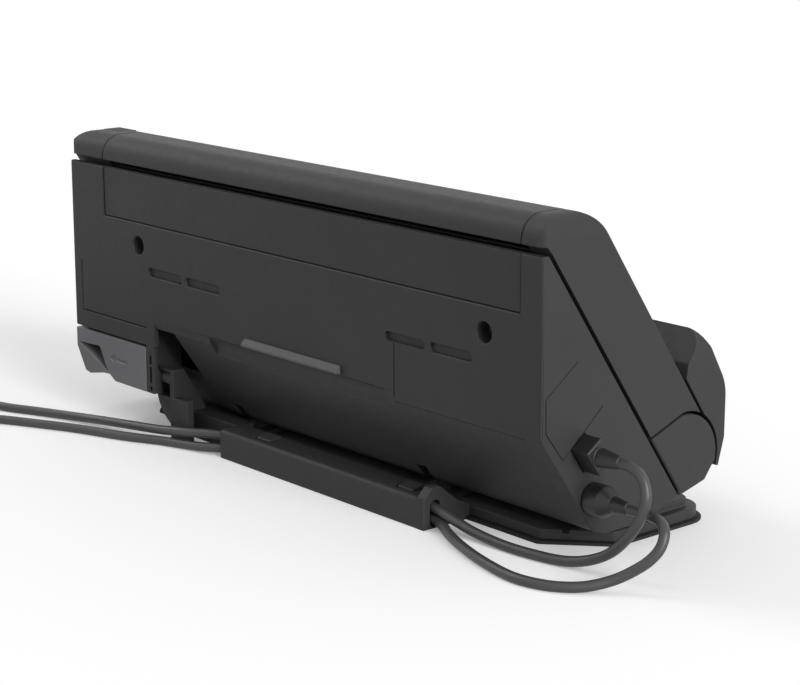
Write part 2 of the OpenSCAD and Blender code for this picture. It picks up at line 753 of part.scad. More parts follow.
button_x = (cap_right + half_w) / 2;
button_t = [34, 52, 71];
button_r = [5, 5, 6.5];
button_floor_d = 21.5;
button_gap = 0.4;
button_travel = 1;
button_proud = 1.1;
light_t = 61.5;
light_offset = [-6, 0, 6];
light_r = 1.1;
light_proud = 0.2;
release_in = 21;
release_w = 18;
release_x = [half_w - release_in, half_w - release_in + release_w];
release_y = [37.5, 46.5];
release_deep = 1.6;
release_gap = 0.3;
release_travel = 4;
tray_pin_in_y = 5.5;
tray_pin_up = 5;
tray_pin_at = [back_y - tray_pin_in_y, bar_z + tray_pin_up];
tray_pin_r = 2;
tray_pin_in = 6;
tray_gap = 0.3;

// A round hole or peg square to the paper path, from d0 out to d1
module d_bore(at_t, x, d0, d1, r)
  translate([x, P(at_t, d0).x, P(at_t, d0).y]) rotate([90 - path_lean, 0, 0]) cylinder(r = r, h = d1 - d0);

module adf_cover()
  color([0.19, 0.19, 0.195])
    difference() {
      union() {
        span(-half_w, cap_left) polygon(cap_outline);
        span(cap_right, half_w) polygon(cap_outline);
        difference() {
          union() {
            span(cap_left, cap_right) polygon([
              P(t_at_z(inner_d, back_h), inner_d), P(t_at_z(tray_d - tray_gap, back_h), tray_d - tray_gap),
              P(wall_top_t, tray_d - tray_gap), P(wall_top_t, wall_d),
              P(t_at_z(wall_d, back_h - lid_thick), wall_d), P(t_at_z(inner_d, back_h - lid_thick), inner_d)
            ]);
            path_block(pocket_x[0] - pocket_wall, pocket_x[1] + pocket_wall, pocket_t[0] - pocket_wall,
                       pocket_t[1] + pocket_wall, pocket_d - pocket_wall, tray_d - tray_gap);
            for (x = [rib_left, rib_right])
              span(x, x + rib_w) polygon([P(rib_t[0], inner_d), P(rib_t[1], inner_d), P(wall_top_t, hinge_d),
                                          P(wall_top_t, wall_d + small_r), P(rib_t[0], wall_d + small_r)]);
          }
          rod(cap_left - overrun, cap_right + overrun, hinge_at, cover_reach + wall_relief);
          path_block(pocket_x[0], pocket_x[1], pocket_t[0], pocket_t[1], pocket_d, tray_d + overrun);
          for (at = [sep_at, upper_pinch_at, lower_pinch_at])
            rod(rib_left - 2 * overrun, rib_right + rib_w + 2 * overrun, at, pinch_shaft_r + bore_gap);
        }
        for (x = arm_x)
          union() {
            span(x, x + arm_w) polygon([
              P(hinge_t, hinge_d - arm_half), P(arm_top_t, hinge_d - arm_half), P(arm_top_t, wall_d + small_r),
              P(arm_foot_t, wall_d + small_r), P(lobe_corner_t + lobe_gap, hinge_d + arm_half),
              P(hinge_t, hinge_d + arm_half)
            ]);
            rod(x, x + arm_w, hinge_at, arm_r);
          }
      }
      for (x = arm_x) rod(x - overrun, x + arm_w + overrun, hinge_at, hinge_r + bore_gap);
      for (x = [cap_left - tray_pin_in, cap_right - overrun])
        rod(x, x + tray_pin_in + overrun, tray_pin_at, tray_pin_r);
      path_block(panel_x[0], panel_x[1], panel_t[0], panel_t[1], cover_t - panel_deep, cover_t + overrun);
      for (i = [0:2]) d_bore(button_t[i], button_x, button_floor_d, cover_t + overrun, button_r[i] + button_gap);
      block([release_x[0], release_y[0], top_z - release_deep], [release_x[1], release_y[1], top_z + overrun]);
    }

module control_panel()
  color([0.07, 0.07, 0.075])
    difference() {
      path_block(panel_x[0] + rib_gap, panel_x[1] - rib_gap, panel_t[0] + rib_gap, panel_t[1] - rib_gap,
                 cover_t - panel_deep, cover_t);
      for (i = [0:2])
        d_bore(button_t[i], button_x, cover_t - 2 * panel_deep, cover_t + overrun, button_r[i] + button_gap);
      for (x = light_offset) d_bore(light_t, button_x + x, cover_t - 2 * panel_deep, cover_t + overrun, light_r);
    }
module indicator_lights()
  color([0.35, 0.75, 0.45])
    for (x = light_offset) d_bore(light_t, button_x + x, cover_t - panel_deep, cover_t + light_proud, light_r);
module button(i)
  d_bore(button_t[i], button_x, button_floor_d + button_travel + button_gap, cover_t + button_proud, button_r[i]);
module power_button() color([0.3, 0.3, 0.31]) button(0);
module stop_button() color([0.3, 0.3, 0.31]) button(1);
module scan_button() color([0.25, 0.42, 0.6]) button(2);

grip_pitch = 2.7;
grip_w = 0.9;
grip_deep = 0.3;
module cover_release()
  color([0.28, 0.28, 0.285])
    difference() {
      block([release_x[0] + release_gap, release_y[0] + release_gap, top_z - release_deep + release_gap],
            [release_x[1] - release_gap - release_travel, release_y[1] - release_gap, top_z]);
      for (i = [1:4])
        block([release_x[0] + i * grip_pitch, release_y[0], top_z - grip_deep],
              [release_x[0] + i * grip_pitch + grip_w, release_y[1], top_z + overrun]);
    }

module tray_hinge_pins()
  color([0.7, 0.71, 0.73]) {
    rod(cap_left - tray_pin_in, cap_left + tray_pin_in, tray_pin_at, tray_pin_r);
    rod(cap_right - tray_pin_in, cap_right + tray_pin_in, tray_pin_at, tray_pin_r);
  }

// The inner guide plate of the cover
cover_guide_t0 = 4;
guide_side_gap = 0.2;
module cover_guide()
  color([0.2, 0.2, 0.205])
    difference() {
      path_block(rib_left + rib_w + guide_side_gap, rib_right - guide_side_gap, cover_guide_t0, rib_t[1],
                 cover_back_d, cover_back_d + guide_t - guide_side_gap);
      feed_windows(sep_r, cover_back_d - overrun, inner_d + overrun);
      for (t = [upper_t, lower_t]) drive_windows(t, pinch_r, cover_back_d - overrun, inner_d + overrun);
      path_block(path_x - path_w / 2, path_x + path_w / 2, sensor_t - glass_w / 2, sensor_t + glass_w / 2,
                 cover_back_d - overrun, inner_d + overrun);
    }
front_sensor_deep = 10;
module front_sensor() color([0.09, 0.09, 0.1]) sensor_bar(inner_d, inner_d + front_sensor_deep);
module front_sensor_glass() color([0.5, 0.62, 0.66]) sensor_glass(inner_d - glass_t, inner_d);

// The output guide on the front: shares of its reach in front of the hinge and of its rise above it
guide_reach = 22.6;
guide_rise = 48.5;
guide_end = 0.5;
guide_corner_r = 10;
guide_inner_d = 28;
guide_face_share = [[0.86, -0.13], [1, 0.1], [1, 0.53], [0.51, 0.92], [0.42, 1], [0.04, 0.753]];
guide_face_r = [0.6, 6, 18, 2.5, 0.6, 3];
guide_seat = 0.1;
guide_low_t = 88;
guide_low_r = 1;
guide_end_angle = -52;
guide_foot_t = [90, 101];
guide_foot_in = 3;
guide_top_flat = 0.5;
guide_top_z = hinge_at.y + guide_rise - guide_top_flat;
guide_arc_angle = acos((guide_inner_d - hinge_d) / (cover_reach + guide_seat));
module guide_feet()
  for (x = [[-half_w, cap_left], [cap_right, half_w]])
    path_block(x[0] + guide_foot_in, x[1] - guide_foot_in, guide_foot_t[0], guide_foot_t[1],
               cover_t, guide_inner_d + guide_foot_in);
module output_guide()
  color([0.2, 0.2, 0.205]) {
    guide_feet();
    intersection() {
      span(-half_w + guide_end, half_w - guide_end)
        polygon(rounded([
          for (i = [0:len(guide_face_share) - 1])
            [hinge_at + [-guide_reach * guide_face_share[i].x, guide_rise * guide_face_share[i].y], guide_face_r[i]],
          [P(guide_low_t, guide_inner_d), guide_low_r],
          each [for (i = [0:arc_steps * 2])
            [about_hinge(guide_arc_angle + (guide_end_angle - guide_arc_angle) * i / (arc_steps * 2),
                         cover_reach + guide_seat), 0]]
        ]));
      translate([0, back_y, 0]) rotate([90, 0, 0]) linear_extrude(3 * back_y)
        polygon(rounded([
          [[-half_w, 0], 0], [[half_w, 0], 0],
          [[half_w, guide_top_z], guide_corner_r], [[-half_w, guide_top_z], guide_corner_r]
        ]));
    }
  }

// The input tray, with the top bar that it turns on
slide_gap = 0.3;
extension_x = [-80, 60];
extension_t = [22, 57.5];
extension_d = [23.5, 25.3];
lip_t = 1.4;
tongue_t = [32, 34];
tongue_h = 1.2;
tongue_inset = 4;
fence_w = 2.5;
fence_d = 14.4;
shoe_w = 20;
shoe_d = [19.2, 21.2];
shoe_t = [24, 42];
fence_inset = 5;
fence_half = path_w / 2 - fence_inset;
fence_x = [path_x - fence_half, path_x + fence_half];
tray_low_r = 1.5;
module input_tray()
  color([0.2, 0.2, 0.205])
    difference() {
      span(cap_left + tray_gap, cap_right - tray_gap)
        polygon(rounded([
          [[back_y, bar_z], small_r],
          [[back_y, top_z], bar_rear_r],
          [[bar_front_y, top_z], bar_front_r],
          [P(tray_t, cover_t), tray_low_r],
          [P(tray_t, tray_d), small_r],
          [P(t_at_z(tray_d, bar_z), tray_d), 0]
        ]));
      path_block(extension_x[0] - slide_gap, extension_x[1] + slide_gap, extension_t[0] - slide_gap,
                 tray_t + overrun, extension_d[0] - slide_gap, extension_d[1] + slide_gap);
      path_block(fence_x[0] - slide_gap, fence_x[1] + slide_gap, tongue_t[0] - slide_gap, tongue_t[1] + slide_gap,
                 tray_d - overrun, tray_d + tongue_h);
      for (x = [cap_left, cap_right - tray_pin_in - slide_gap])
        rod(x - overrun, x + tray_pin_in + slide_gap + overrun, tray_pin_at, tray_pin_r + bore_gap);
    }
module tray_extension()
  color([0.24, 0.24, 0.245])
    union() {
      path_block(extension_x[0], extension_x[1], extension_t[0], tray_t + slide_gap + lip_t,
                 extension_d[0], extension_d[1]);
      path_block(extension_x[0], extension_x[1], tray_t + slide_gap, tray_t + slide_gap + lip_t,
                 tray_d + slide_gap, cover_t);
    }
// A guide's fence stands in the pocket, and its tongue runs in the tray's groove. way points inwards.
module edge_guide(x, way)
  union() {
    path_block(min(x, x + way * fence_w), max(x, x + way * fence_w), shoe_t[0], shoe_t[1], fence_d, shoe_d[1]);
    path_block(min(x, x + way * shoe_w), max(x, x + way * shoe_w), shoe_t[0], shoe_t[1], shoe_d[0], shoe_d[1]);
    path_block(min(x + way * tongue_inset, x + way * (shoe_w - tongue_inset)),
               max(x + way * tongue_inset, x + way * (shoe_w - tongue_inset)),
               tongue_t[0], tongue_t[1], shoe_d[1] - small_r, tray_d + tongue_h - slide_gap);
  }
module edge_guide_left() color([0.28, 0.28, 0.285]) edge_guide(fence_x[0], 1);
module edge_guide_right() color([0.28, 0.28, 0.285]) edge_guide(fence_x[1], -1);

// The position selector: its outline from behind, as places along X and Z
lever_side_gap = 0.5;
lever_x0 = strip_x1 + lever_side_gap;
lever_low = 20;
lever_share = [
  [0, 1], [1, 0.995], [1, 0.57], [0.883, 0.04], [0.817, 0], [0.617, 0.11], [0.53, 0.125], [0.45, 0], [0, 0]
];
finger_share = [[0.965, 0.66], [0.665, 0.7], [0.552, 0.165]];
finger_deep = 8;
arrow_share = [[0.52, 0.5], [0.44, 0.62], [0.44, 0.54], [0.28, 0.54], [0.28, 0.46], [0.44, 0.46], [0.44, 0.38]];
lever_back_gap = 0.5;
bolt_in = lever_travel + lever_side_gap + lever_back_gap;
function on_lever(p) = [lever_x0 + p.x * lever_l, lever_low + p.y * lever_h];
module facing(points, y0, y1)
  translate([0, y1, 0]) rotate([90, 0, 0]) linear_extrude(y1 - y0) polygon(points);
module position_selector()
  color([0.38, 0.38, 0.385])
    union() {
      difference() {
        intersection() {
          facing([for (p = lever_share) on_lever(p)], notch_y - heel_r, back_y);
          span(lever_x0, half_w) polygon([
            P(t_at_y(-rear_t - lever_back_gap, back_y + overrun), -rear_t - lever_back_gap), [back_y + overrun, 0],
            P(t_at_z(-rear_t - lever_back_gap, 0), -rear_t - lever_back_gap)
          ]);
        }
        facing([for (p = finger_share) on_lever(p)], back_y - finger_deep, back_y + overrun);
        facing([for (p = arrow_share) on_lever(p)], back_y - groove, back_y + overrun);
      }
      rod(lever_x0 - bolt_in, lever_x0 + overrun, bolt_at, bolt_r);
    }

// The base, grown by g all round
base_front_r = 10;
base_chamfer = [21, 19];
chamfer_share = 0.41;
chamfer_r = 3;
function base_outline(g) = rounded([
  [[-base_w / 2 - g, -base_front - g], base_front_r + g],
  [[base_w / 2 + g, -base_front - g], base_front_r + g],
  [[base_w / 2 + g, base_rear - base_chamfer.y + chamfer_share * g], chamfer_r],
  [[base_w / 2 - base_chamfer.x + chamfer_share * g, base_rear + g], chamfer_r],
  [[-base_w / 2 + base_chamfer.x - chamfer_share * g, base_rear + g], chamfer_r],
  [[-base_w / 2 - g, base_rear - base_chamfer.y + chamfer_share * g], chamfer_r]
]);
foot_lip = 2;
deck_inset = 4;
deck_back_y = 5;
pan_x = 130;
pan_y = [7, 26];
pan_deep = 1.5;
module base_plate()
  color([0.14, 0.14, 0.145])
    difference() {
      union() {
        translate([0, 0, foot_t]) linear_extrude(base_h - foot_t) polygon(base_outline(0));
        intersection() {
          translate([0, 0, base_h / 2]) linear_extrude(deck_h - base_h / 2) polygon(base_outline(-deck_inset));
          block([-half_w, -2 * base_front, 0], [half_w, deck_back_y, 2 * deck_h]);
        }
        for (x = [-ear_x, ear_x])
          union() {
            block([x - ear_thick / 2, tilt_y - ear_r, base_h / 2], [x + ear_thick / 2, tilt_y + ear_r, tilt_z]);
            rod(x - ear_thick / 2, x + ear_thick / 2, tilt_at, ear_r);
          }
      }
      for (s = [[-pan_x, -ear_x - ear_thick * 2], [-ear_x + ear_thick * 2, ear_x - ear_thick * 2],
                [ear_x + ear_thick * 2, pan_x]])
        block([s[0], pan_y[0], base_h - pan_deep], [s[1], pan_y[1], base_h + overrun]);
      for (x = [-ear_x, ear_x]) rod(x - ear_thick, x + ear_thick, tilt_at, tilt_pin_r);
    }
module base_foot() color([0.07, 0.07, 0.07]) linear_extrude(foot_t) polygon(base_outline(foot_lip));
module tilt_pins()
  color([0.7, 0.71, 0.73])
    for (x = [-ear_x, ear_x])
      rod(x - ear_thick / 2 - boss_gap - boss_w, x + ear_thick / 2 + boss_gap + boss_w, tilt_at, tilt_pin_r);

// The stand's arm, beside the selector, with the ring slot that the bolt rides in as the body tilts
arm_side = [79.6, 91.9];
stand_arm_y = 56;
arm_web = 2.4;
arm_top_z = 31.7;
arm_front = [[39, 13.4], [50, 31.7]];
arm_relief = 36.6;
window_x = [82, 90.7];
window_z = [19, 30.4];
window_deep = 5;
step_x = 69.5;
step_z = 19.5;
step_thick = 3.6;
ledge_z = 12;
ledge_y = [38, 46];
ledge_x = 46;
arm_foot_x = 60;
slot_angle = 40;
slot_top_z = 9.2;
module stand_arm()
  color([0.2, 0.2, 0.205])
    union() {
      difference() {
        span(arm_side[0], arm_side[1]) polygon([
          [stand_arm_y, 0], [stand_arm_y, arm_top_z], arm_front[1], arm_front[0], [arm_front[0].x, 0]
        ]);
        difference() {
          block([arm_side[0] + arm_web, tilt_y, -overrun], [arm_side[1] + overrun, back_y, arm_top_z + overrun]);
          rod(arm_side[0], arm_side[1] + 2 * overrun, tilt_at, arm_relief);
        }
        difference() {
          rod(arm_side[0] + arm_web, arm_side[1] + overrun, tilt_at, bolt_reach + bolt_r + bolt_gap);
          rod(arm_side[0], arm_side[1] + 2 * overrun, tilt_at, bolt_reach - bolt_r - bolt_gap);
          block([arm_side[0], tilt_y, -arm_top_z],
                [arm_side[1] + 2 * overrun, tilt_y + bolt_reach * cos(slot_angle), slot_top_z]);
        }
        block([window_x[0], stand_arm_y - window_deep, window_z[0]], [window_x[1], stand_arm_y + overrun, window_z[1]]);
      }
      block([step_x, stand_arm_y - step_thick, 0], [arm_side[0], stand_arm_y, step_z]);
      block([ledge_x, ledge_y[0], 0], [arm_side[0], ledge_y[1], ledge_z]);
      block([arm_foot_x, base_rear, foot_t], [arm_side[1], ledge_y[1], base_h]);
    }

// The cable holder: a channel that the two leads pass through
holder_right = 46;
holder_left = holder_right - holder_l;
holder_y = stand_arm_y - holder_d;
holder_r = 2.2;
floor_thick = 1.2;
front_lift = 3;
ear_w = 4;
ear_outline = [[33, 6.5], [37.8, 8.7], [47.8, 16.5], [52, 16.5]];
tab_x = [[18, 27], [-72, -63]];
tab_h = 1.2;
tab_y = [46, 51];
lead_y = 50;
lead_low_z = 3.4;
lead_high_z = 8.6;
lead_hole_gap = 0.6;
module cable_holder()
  color([0.18, 0.18, 0.185])
    union() {
      difference() {
        span(holder_left, holder_right)
          polygon(rounded([
            [[holder_y, 0], 0], [[stand_arm_y, 0], small_r], [[stand_arm_y, holder_h], holder_r],
            [[holder_y, holder_h], small_r]
          ]));
        block([holder_left - overrun, holder_y + holder_wall, floor_thick],
              [holder_right + overrun, stand_arm_y - holder_wall, holder_h - holder_wall]);
        for (t = tab_x)
          block([t[0] - tab_h, tab_y[0] - tab_h, holder_h - holder_wall - overrun],
                [t[1] + tab_h, tab_y[1] + tab_h, holder_h + overrun]);
        block([holder_left + ear_w, holder_y - overrun, holder_wall],
              [holder_right - ear_w, holder_y + holder_wall + overrun, front_lift]);
      }
      for (t = tab_x)
        span(t[0], t[1])
          polygon([[tab_y[0] - tab_h, holder_h - holder_wall], [tab_y[1], holder_h - holder_wall],
                   [tab_y[1], holder_h], [tab_y[0], holder_h + tab_h], [tab_y[0] - tab_h, holder_h + tab_h]]);
      difference() {
        span(holder_left - ear_w, holder_left) polygon([
          [base_rear, foot_t], [base_rear + foot_lip, foot_t], [base_rear + foot_lip, 0], [stand_arm_y, 0],
          [stand_arm_y, holder_h], ear_outline[3], ear_outline[2], ear_outline[1], ear_outline[0],
          [base_rear, ear_outline[0].y]
        ]);
        for (z = [lead_low_z, lead_high_z])
          rod(holder_left - ear_w - overrun, holder_left + overrun, [lead_y, z], usb_d / 2 + lead_hole_gap);
        block([holder_left - ear_w - overrun, lead_y - usb_d / 2 - lead_hole_gap, lead_low_z],
              [holder_left + overrun, lead_y + usb_d / 2 + lead_hole_gap, lead_high_z]);
      }
      block([holder_left - ear_w, base_rear, foot_t], [holder_left + 2 * ear_w, holder_y + holder_wall, base_h]);
    }

// The plugs in the -X end
usb_body = [8.2, 0.6, 1.4];
usb_boot_r = 3.5;
plug_end_x = -168;
dc_collar_r = 6;
dc_cone_r = 3.4;
dc_boot_r = 2.9;
dc_steps = [0.4, 7, 11];
module usb_plug()
  color([0.11, 0.11, 0.115])
    union() {
      in_usb() {
        block([-half_w - usb_body[0], -usb_w / 2, -usb_h / 2], [-half_w + usb_body[1], usb_w / 2, usb_h / 2]);
        block([-half_w, -usb_w / 2 + usb_body[2] / 2, -usb_h / 2 + usb_body[2] / 2],
              [-half_w + wall + socket_depth - overrun, usb_w / 2 - usb_body[2] / 2, usb_h / 2 - usb_body[2] / 2]);
      }
      rod(-half_w - usb_body[0] - overrun, -half_w, usb_at, usb_boot_r);
      translate([-half_w - usb_body[0] - overrun, usb_at.x, usb_at.y]) rotate([0, -90, 0])
        cylinder(r1 = usb_boot_r, r2 = usb_d / 2 + small_r / 2, h = -half_w - usb_body[0] - overrun - plug_end_x);
    }
module dc_plug()
  color([0.09, 0.09, 0.09])
    union() {
      rod(-half_w - dc_steps[1], -half_w - dc_steps[0], dc_at, dc_collar_r);
      rod(-half_w - dc_steps[1], -half_w + wall + socket_depth - overrun, dc_at, dc_barrel_r);
      translate([-half_w - dc_steps[1], dc_at.x, dc_at.y]) rotate([0, -90, 0])
        cylinder(r1 = dc_collar_r, r2 = dc_cone_r, h = dc_steps[2] - dc_steps[1]);
      translate([-half_w - dc_steps[2], dc_at.x, dc_at.y]) rotate([0, -90, 0])
        cylinder(r1 = dc_boot_r + small_r / 2, r2 = dc_d / 2 + small_r / 2, h = -half_w - dc_steps[2] - plug_end_x);
    }

// A tube swept along a list of points, with rings that don't twist
function way_at(p, i) = unit(p[min(i + 1, len(p) - 1)] - p[max(i - 1, 0)]);
function carried(side, way) = unit(side - way * (side * way));
function sides_along(ways) =
  [for (i = 0, s = carried([0, 0, 1], ways[0]); i < len(ways);
        s = i + 1 < len(ways) ? carried(s, ways[i + 1]) : s, i = i + 1) s];
function ring(at, way, side, r, n) =
  [for (k = [0:n - 1]) at + r * (cos(360 * k / n) * side + sin(360 * k / n) * cross(way, side))];
module tube(points, r, n) {
  ways = [for (i = [0:len(points) - 1]) way_at(points, i)];
  sides = sides_along(ways);
  rings = [for (i = [0:len(points) - 1]) each ring(points[i], ways[i], sides[i], r, n)];
  last = (len(points) - 1) * n;
  polyhedron(rings, [
    for (k = [1:n - 2]) [0, k, k + 1],
    for (i = [0:len(points) - 2]) for (k = [0:n - 1]) let (a = i * n + k, b = i * n + (k + 1) % n) each [
      [a, a + n, b], [b, a + n, b + n]
    ],
    for (k = [1:n - 2]) [last, last + k + 1, last + k]
  ]);
}
// A smooth curve through a list of points
function curve_at(p, i, s) =
  let (
    a = i > 0 ? p[i - 1] : 2 * p[0] - p[1],
    b = p[i],
    c = p[i + 1],
    d = i + 2 < len(p) ? p[i + 2] : 2 * c - b
  )
  0.5 * ((2 * b) + (c - a) * s + (2 * a - 5 * b + 4 * c - d) * s * s + (3 * b - a - 3 * c + d) * s * s * s);
function smooth(p, steps) = [
  for (i = [0:len(p) - 2]) for (s = [0:steps - 1]) curve_at(p, i, s / steps),
  p[len(p) - 1]
];
function path_length(p) = [
  for (i = 0, s = 0; i < len(p); s = i + 1 < len(p) ? s + norm(p[i + 1] - p[i]) : s, i = i + 1) s
][len(p) - 1];

// A coil that spirals in and out again, in two layers
coil_pitch = 4.5;
coil_rings = 24;
coil_lift_share = 0.25;
usb_turns = 4;
dc_turns = 3;
usb_coil_r = 15;
dc_coil_r = 17.5;
usb_coil_at = [222, 112];
dc_coil_at = [160, 152];
usb_coil_turn = -90;
dc_coil_turn = -35;
function heading(a) = [-sin(a), cos(a), 0];
function coil_point(at, r, turns, first, d, s) =
  let (
    angle = first + 360 * s,
    out = r + coil_pitch * abs(s - turns),
    rise = max(0, min(1, (s - turns + coil_lift_share) * 2))
  )
  [at.x + out * cos(angle), at.y + out * sin(angle), d / 2 + coil_pitch * rise];
function coil_path(at, r, turns, first, d) = [
  coil_point(at, r, turns, first, d, 0) - d * heading(first),
  for (i = [0:coil_rings * 2 * turns]) coil_point(at, r, turns, first, d, i / coil_rings),
  coil_point(at, r, turns, first, d, 2 * turns) + d * heading(first)
];
function least_gap(p, d) =
  min([for (i = [0:len(p) - 1]) for (j = [i + coil_rings / 2:1:len(p) - 1]) norm(p[i] - p[j])]) - d;
usb_coil_path = coil_path(usb_coil_at, usb_coil_r, usb_turns, usb_coil_turn, usb_d);
dc_coil_path = coil_path(dc_coil_at, dc_coil_r, dc_turns, dc_coil_turn, dc_d);
echo(usb_coil_gap = least_gap(usb_coil_path, usb_d), dc_coil_gap = least_gap(dc_coil_path, dc_d));

// The leads' routes, from the plugs through the holder to the coils, and from the coils to their far ends
usb_route = [
  [-168, 37.9, 42.3], [-172, 37.9, 42.3], [-177, 38, 40.5], [-180, 38.3, 36.5], [-181, 39, 31], [-178.5, 39.6, 23.5],
  [-173, 40.5, 15.5], [-166, 41.5, 9], [-157, 43, 4.6], [-147, 45, 2.4], [-134, 47.5, 2.1], [-120, 48.7, 2.2],
  [-105, 49.4, 3.6], [-93, 49.8, 6], [-84, 50, 8], [-74, 50, 8.6], [-20, 50, 8.6],
  [38, 50.2, 8.6], [48, 51.6, 8.5], [57, 55, 8.2], [65, 58.6, 7.6], [73, 60.8, 7], [82, 62.4, 6],
  [100, 65.3, 4.8], [118, 68.2, 3.6], [134, 71.5, 2.6], [153, 78, 2.1], [172, 86, 2], [186, 87.5, 2], [198, 84, 2],
  [207, 80.4, 2]
];
dc_route = [
  [-168, 33.5, 24.5], [-172, 33.5, 24.5], [-178, 33.8, 24.8], [-184, 34.7, 24.2], [-188, 36.5, 21.4], [-188.5, 39, 16.5],
  [-186.5, 42, 12.2], [-182.5, 45.5, 8.2], [-177.5, 50.5, 4.6], [-172, 57.5, 2.5], [-166, 63.5, 2], [-158, 68, 2],
  [-146, 69.7, 2], [-128, 66.3, 2], [-110, 60.5, 2], [-97, 55, 2.2], [-88, 51, 3], [-79, 50, 3.4],
  [-20, 50, 3.4], [38, 50.3, 3.4], [48, 53, 3.2], [58, 57.6, 2.6], [68, 60.5, 2.2], [79, 64.2, 2],
  [95, 72, 2], [118, 80.5, 2], [137, 89.5, 2], [155, 99, 2], [165, 106.5, 2], [173, 116, 2]
];
usb_tail = [[239, 80.5, 5.6], [248, 85, 4.8], [256, 92, 4.3], [261, 101, 4], [263, 110, 4], [263, 114, 4]];
dc_tail = [[194, 147, 6.3], [199, 154, 6.1], [204.5, 160, 6], [212, 163.5, 6], [216, 163.5, 6]];
lead_sides = 8;

// A free stretch starts or ends straight where it meets a coil
function to_coil(route, path, first, d) =
  concat(route, [path[0] - 2 * d * heading(first), path[0] - d * heading(first), path[0]]);
function from_coil(path, first, d, tail) =
  let (end = path[len(path) - 1]) concat([end, end + d * heading(first), end + 2 * d * heading(first)], tail);
function eased(p) = [p[0], each smooth([for (i = [1:len(p) - 2]) p[i]], 2), p[len(p) - 1]];
usb_run = eased(to_coil(usb_route, usb_coil_path, usb_coil_turn, usb_d));
dc_run = eased(to_coil(dc_route, dc_coil_path, dc_coil_turn, dc_d));
usb_end_run = eased(from_coil(usb_coil_path, usb_coil_turn, usb_d, usb_tail));
dc_end_run = eased(from_coil(dc_coil_path, dc_coil_turn, dc_d, dc_tail));
echo(
  usb_length = path_length(usb_run) + path_length(usb_coil_path) + path_length(usb_end_run),
  dc_length = path_length(dc_run) + path_length(dc_coil_path) + path_length(dc_end_run),
  rings = [len(usb_run) + len(usb_end_run), len(dc_run) + len(dc_end_run)]
);

lead_color = [0.3, 0.3, 0.31];
coil_sides = 6;
module usb_lead()
  color(lead_color) {
    tube(usb_run, usb_d / 2, lead_sides);
    tube(usb_end_run, usb_d / 2, lead_sides);
  }
module dc_lead()
  color(lead_color) {
    tube(dc_run, dc_d / 2, lead_sides);
    tube(dc_end_run, dc_d / 2, lead_sides);
  }
module usb_coil() color(lead_color) tube(usb_coil_path, usb_d / 2, coil_sides);
module dc_coil() color(lead_color) tube(dc_coil_path, dc_d / 2, coil_sides);

// The far plug: a short boot, a body and a metal nose, heading +Y
far_boot = 7;
far_body = [12, 20, 7.9];
far_nose = [12, 12, 4.5];
module usb_far_plug() {
  at = usb_tail[len(usb_tail) - 1];
  color(lead_color)
    translate(at) {
      rotate([-90, 0, 0]) cylinder(r1 = usb_d / 2 + small_r / 2, r2 = usb_boot_r, h = far_boot);
      translate([-far_body.x / 2, far_boot, -far_body.z / 2]) cube(far_body);
      translate([-far_nose.x / 2, far_boot + far_body.y, -far_nose.z / 2]) cube(far_nose);
    }
}
// The power adapter, heading +X, with two round pins
adapter = [32, 24, 27];
adapter_boot = 6;
adapter_r = 3;
adapter_pin_r = 2;
adapter_pin_l = 14;
adapter_pin_gap = 9.5;
module power_adapter() {
  at = dc_tail[len(dc_tail) - 1];
  color([0.12, 0.12, 0.125])
    translate([at.x, at.y, 0]) {
      translate([0, 0, at.z]) rotate([0, 90, 0]) cylinder(r1 = dc_d / 2 + small_r / 2, r2 = usb_boot_r, h = adapter_boot);
      translate([adapter_boot, -adapter.y / 2, 0]) linear_extrude(adapter.z)
        polygon(rounded([[[0, 0], adapter_r], [[adapter.x, 0], adapter_r], [[adapter.x, adapter.y], adapter_r],
                         [[0, adapter.y], adapter_r]]));
      for (side = [-1, 1])
        translate([adapter_boot + adapter.x - overrun, side * adapter_pin_gap, adapter.z / 2]) rotate([0, 90, 0])
          cylinder(r = adapter_pin_r, h = adapter_pin_l + overrun);
    }
}

base_plate();
base_foot();
stand_arm();
cable_holder();
tilt_pins();
rear_shell();
rest_pad();
rear_panel();
back_screws();
lower_front_housing();
main_guide();
rear_sensor();
rear_sensor_glass();
chassis_plates();
drive_motor();
drive_belts();
main_board();
usb_socket();
dc_socket();
cover_hinge_pins();
feed_shaft();
feed_tyres();
upper_shaft();
upper_tyres();
lower_shaft();
lower_tyres();
exit_shaft();
exit_tyres();
exit_pinch_rollers();
separation_hub();
separation_tyres();
upper_pinch_rollers();
lower_pinch_rollers();
position_selector();
adf_cover();
output_guide();
cover_guide();
front_sensor();
front_sensor_glass();
control_panel();
indicator_lights();
tray_hinge_pins();
cover_release();
power_button();
stop_button();
scan_button();
input_tray();
tray_extension();
edge_guide_left();
edge_guide_right();
usb_plug();
dc_plug();
usb_lead();
usb_coil();
usb_far_plug();
dc_lead();
dc_coil();
power_adapter();
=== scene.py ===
# %% [markdown]
# # A compact document scanner, seen from behind
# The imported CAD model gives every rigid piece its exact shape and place. This lesson puts
# it in front of a camera, lays its two leads on the desk, softens its moulded edges and
# gives every piece its finish. Loading comes first, because the frame that it returns
# names the bodies, the joints and the material slots that the later steps use.

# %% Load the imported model
import json
import math

import bmesh
import bpy
from mathutils import Matrix, Vector


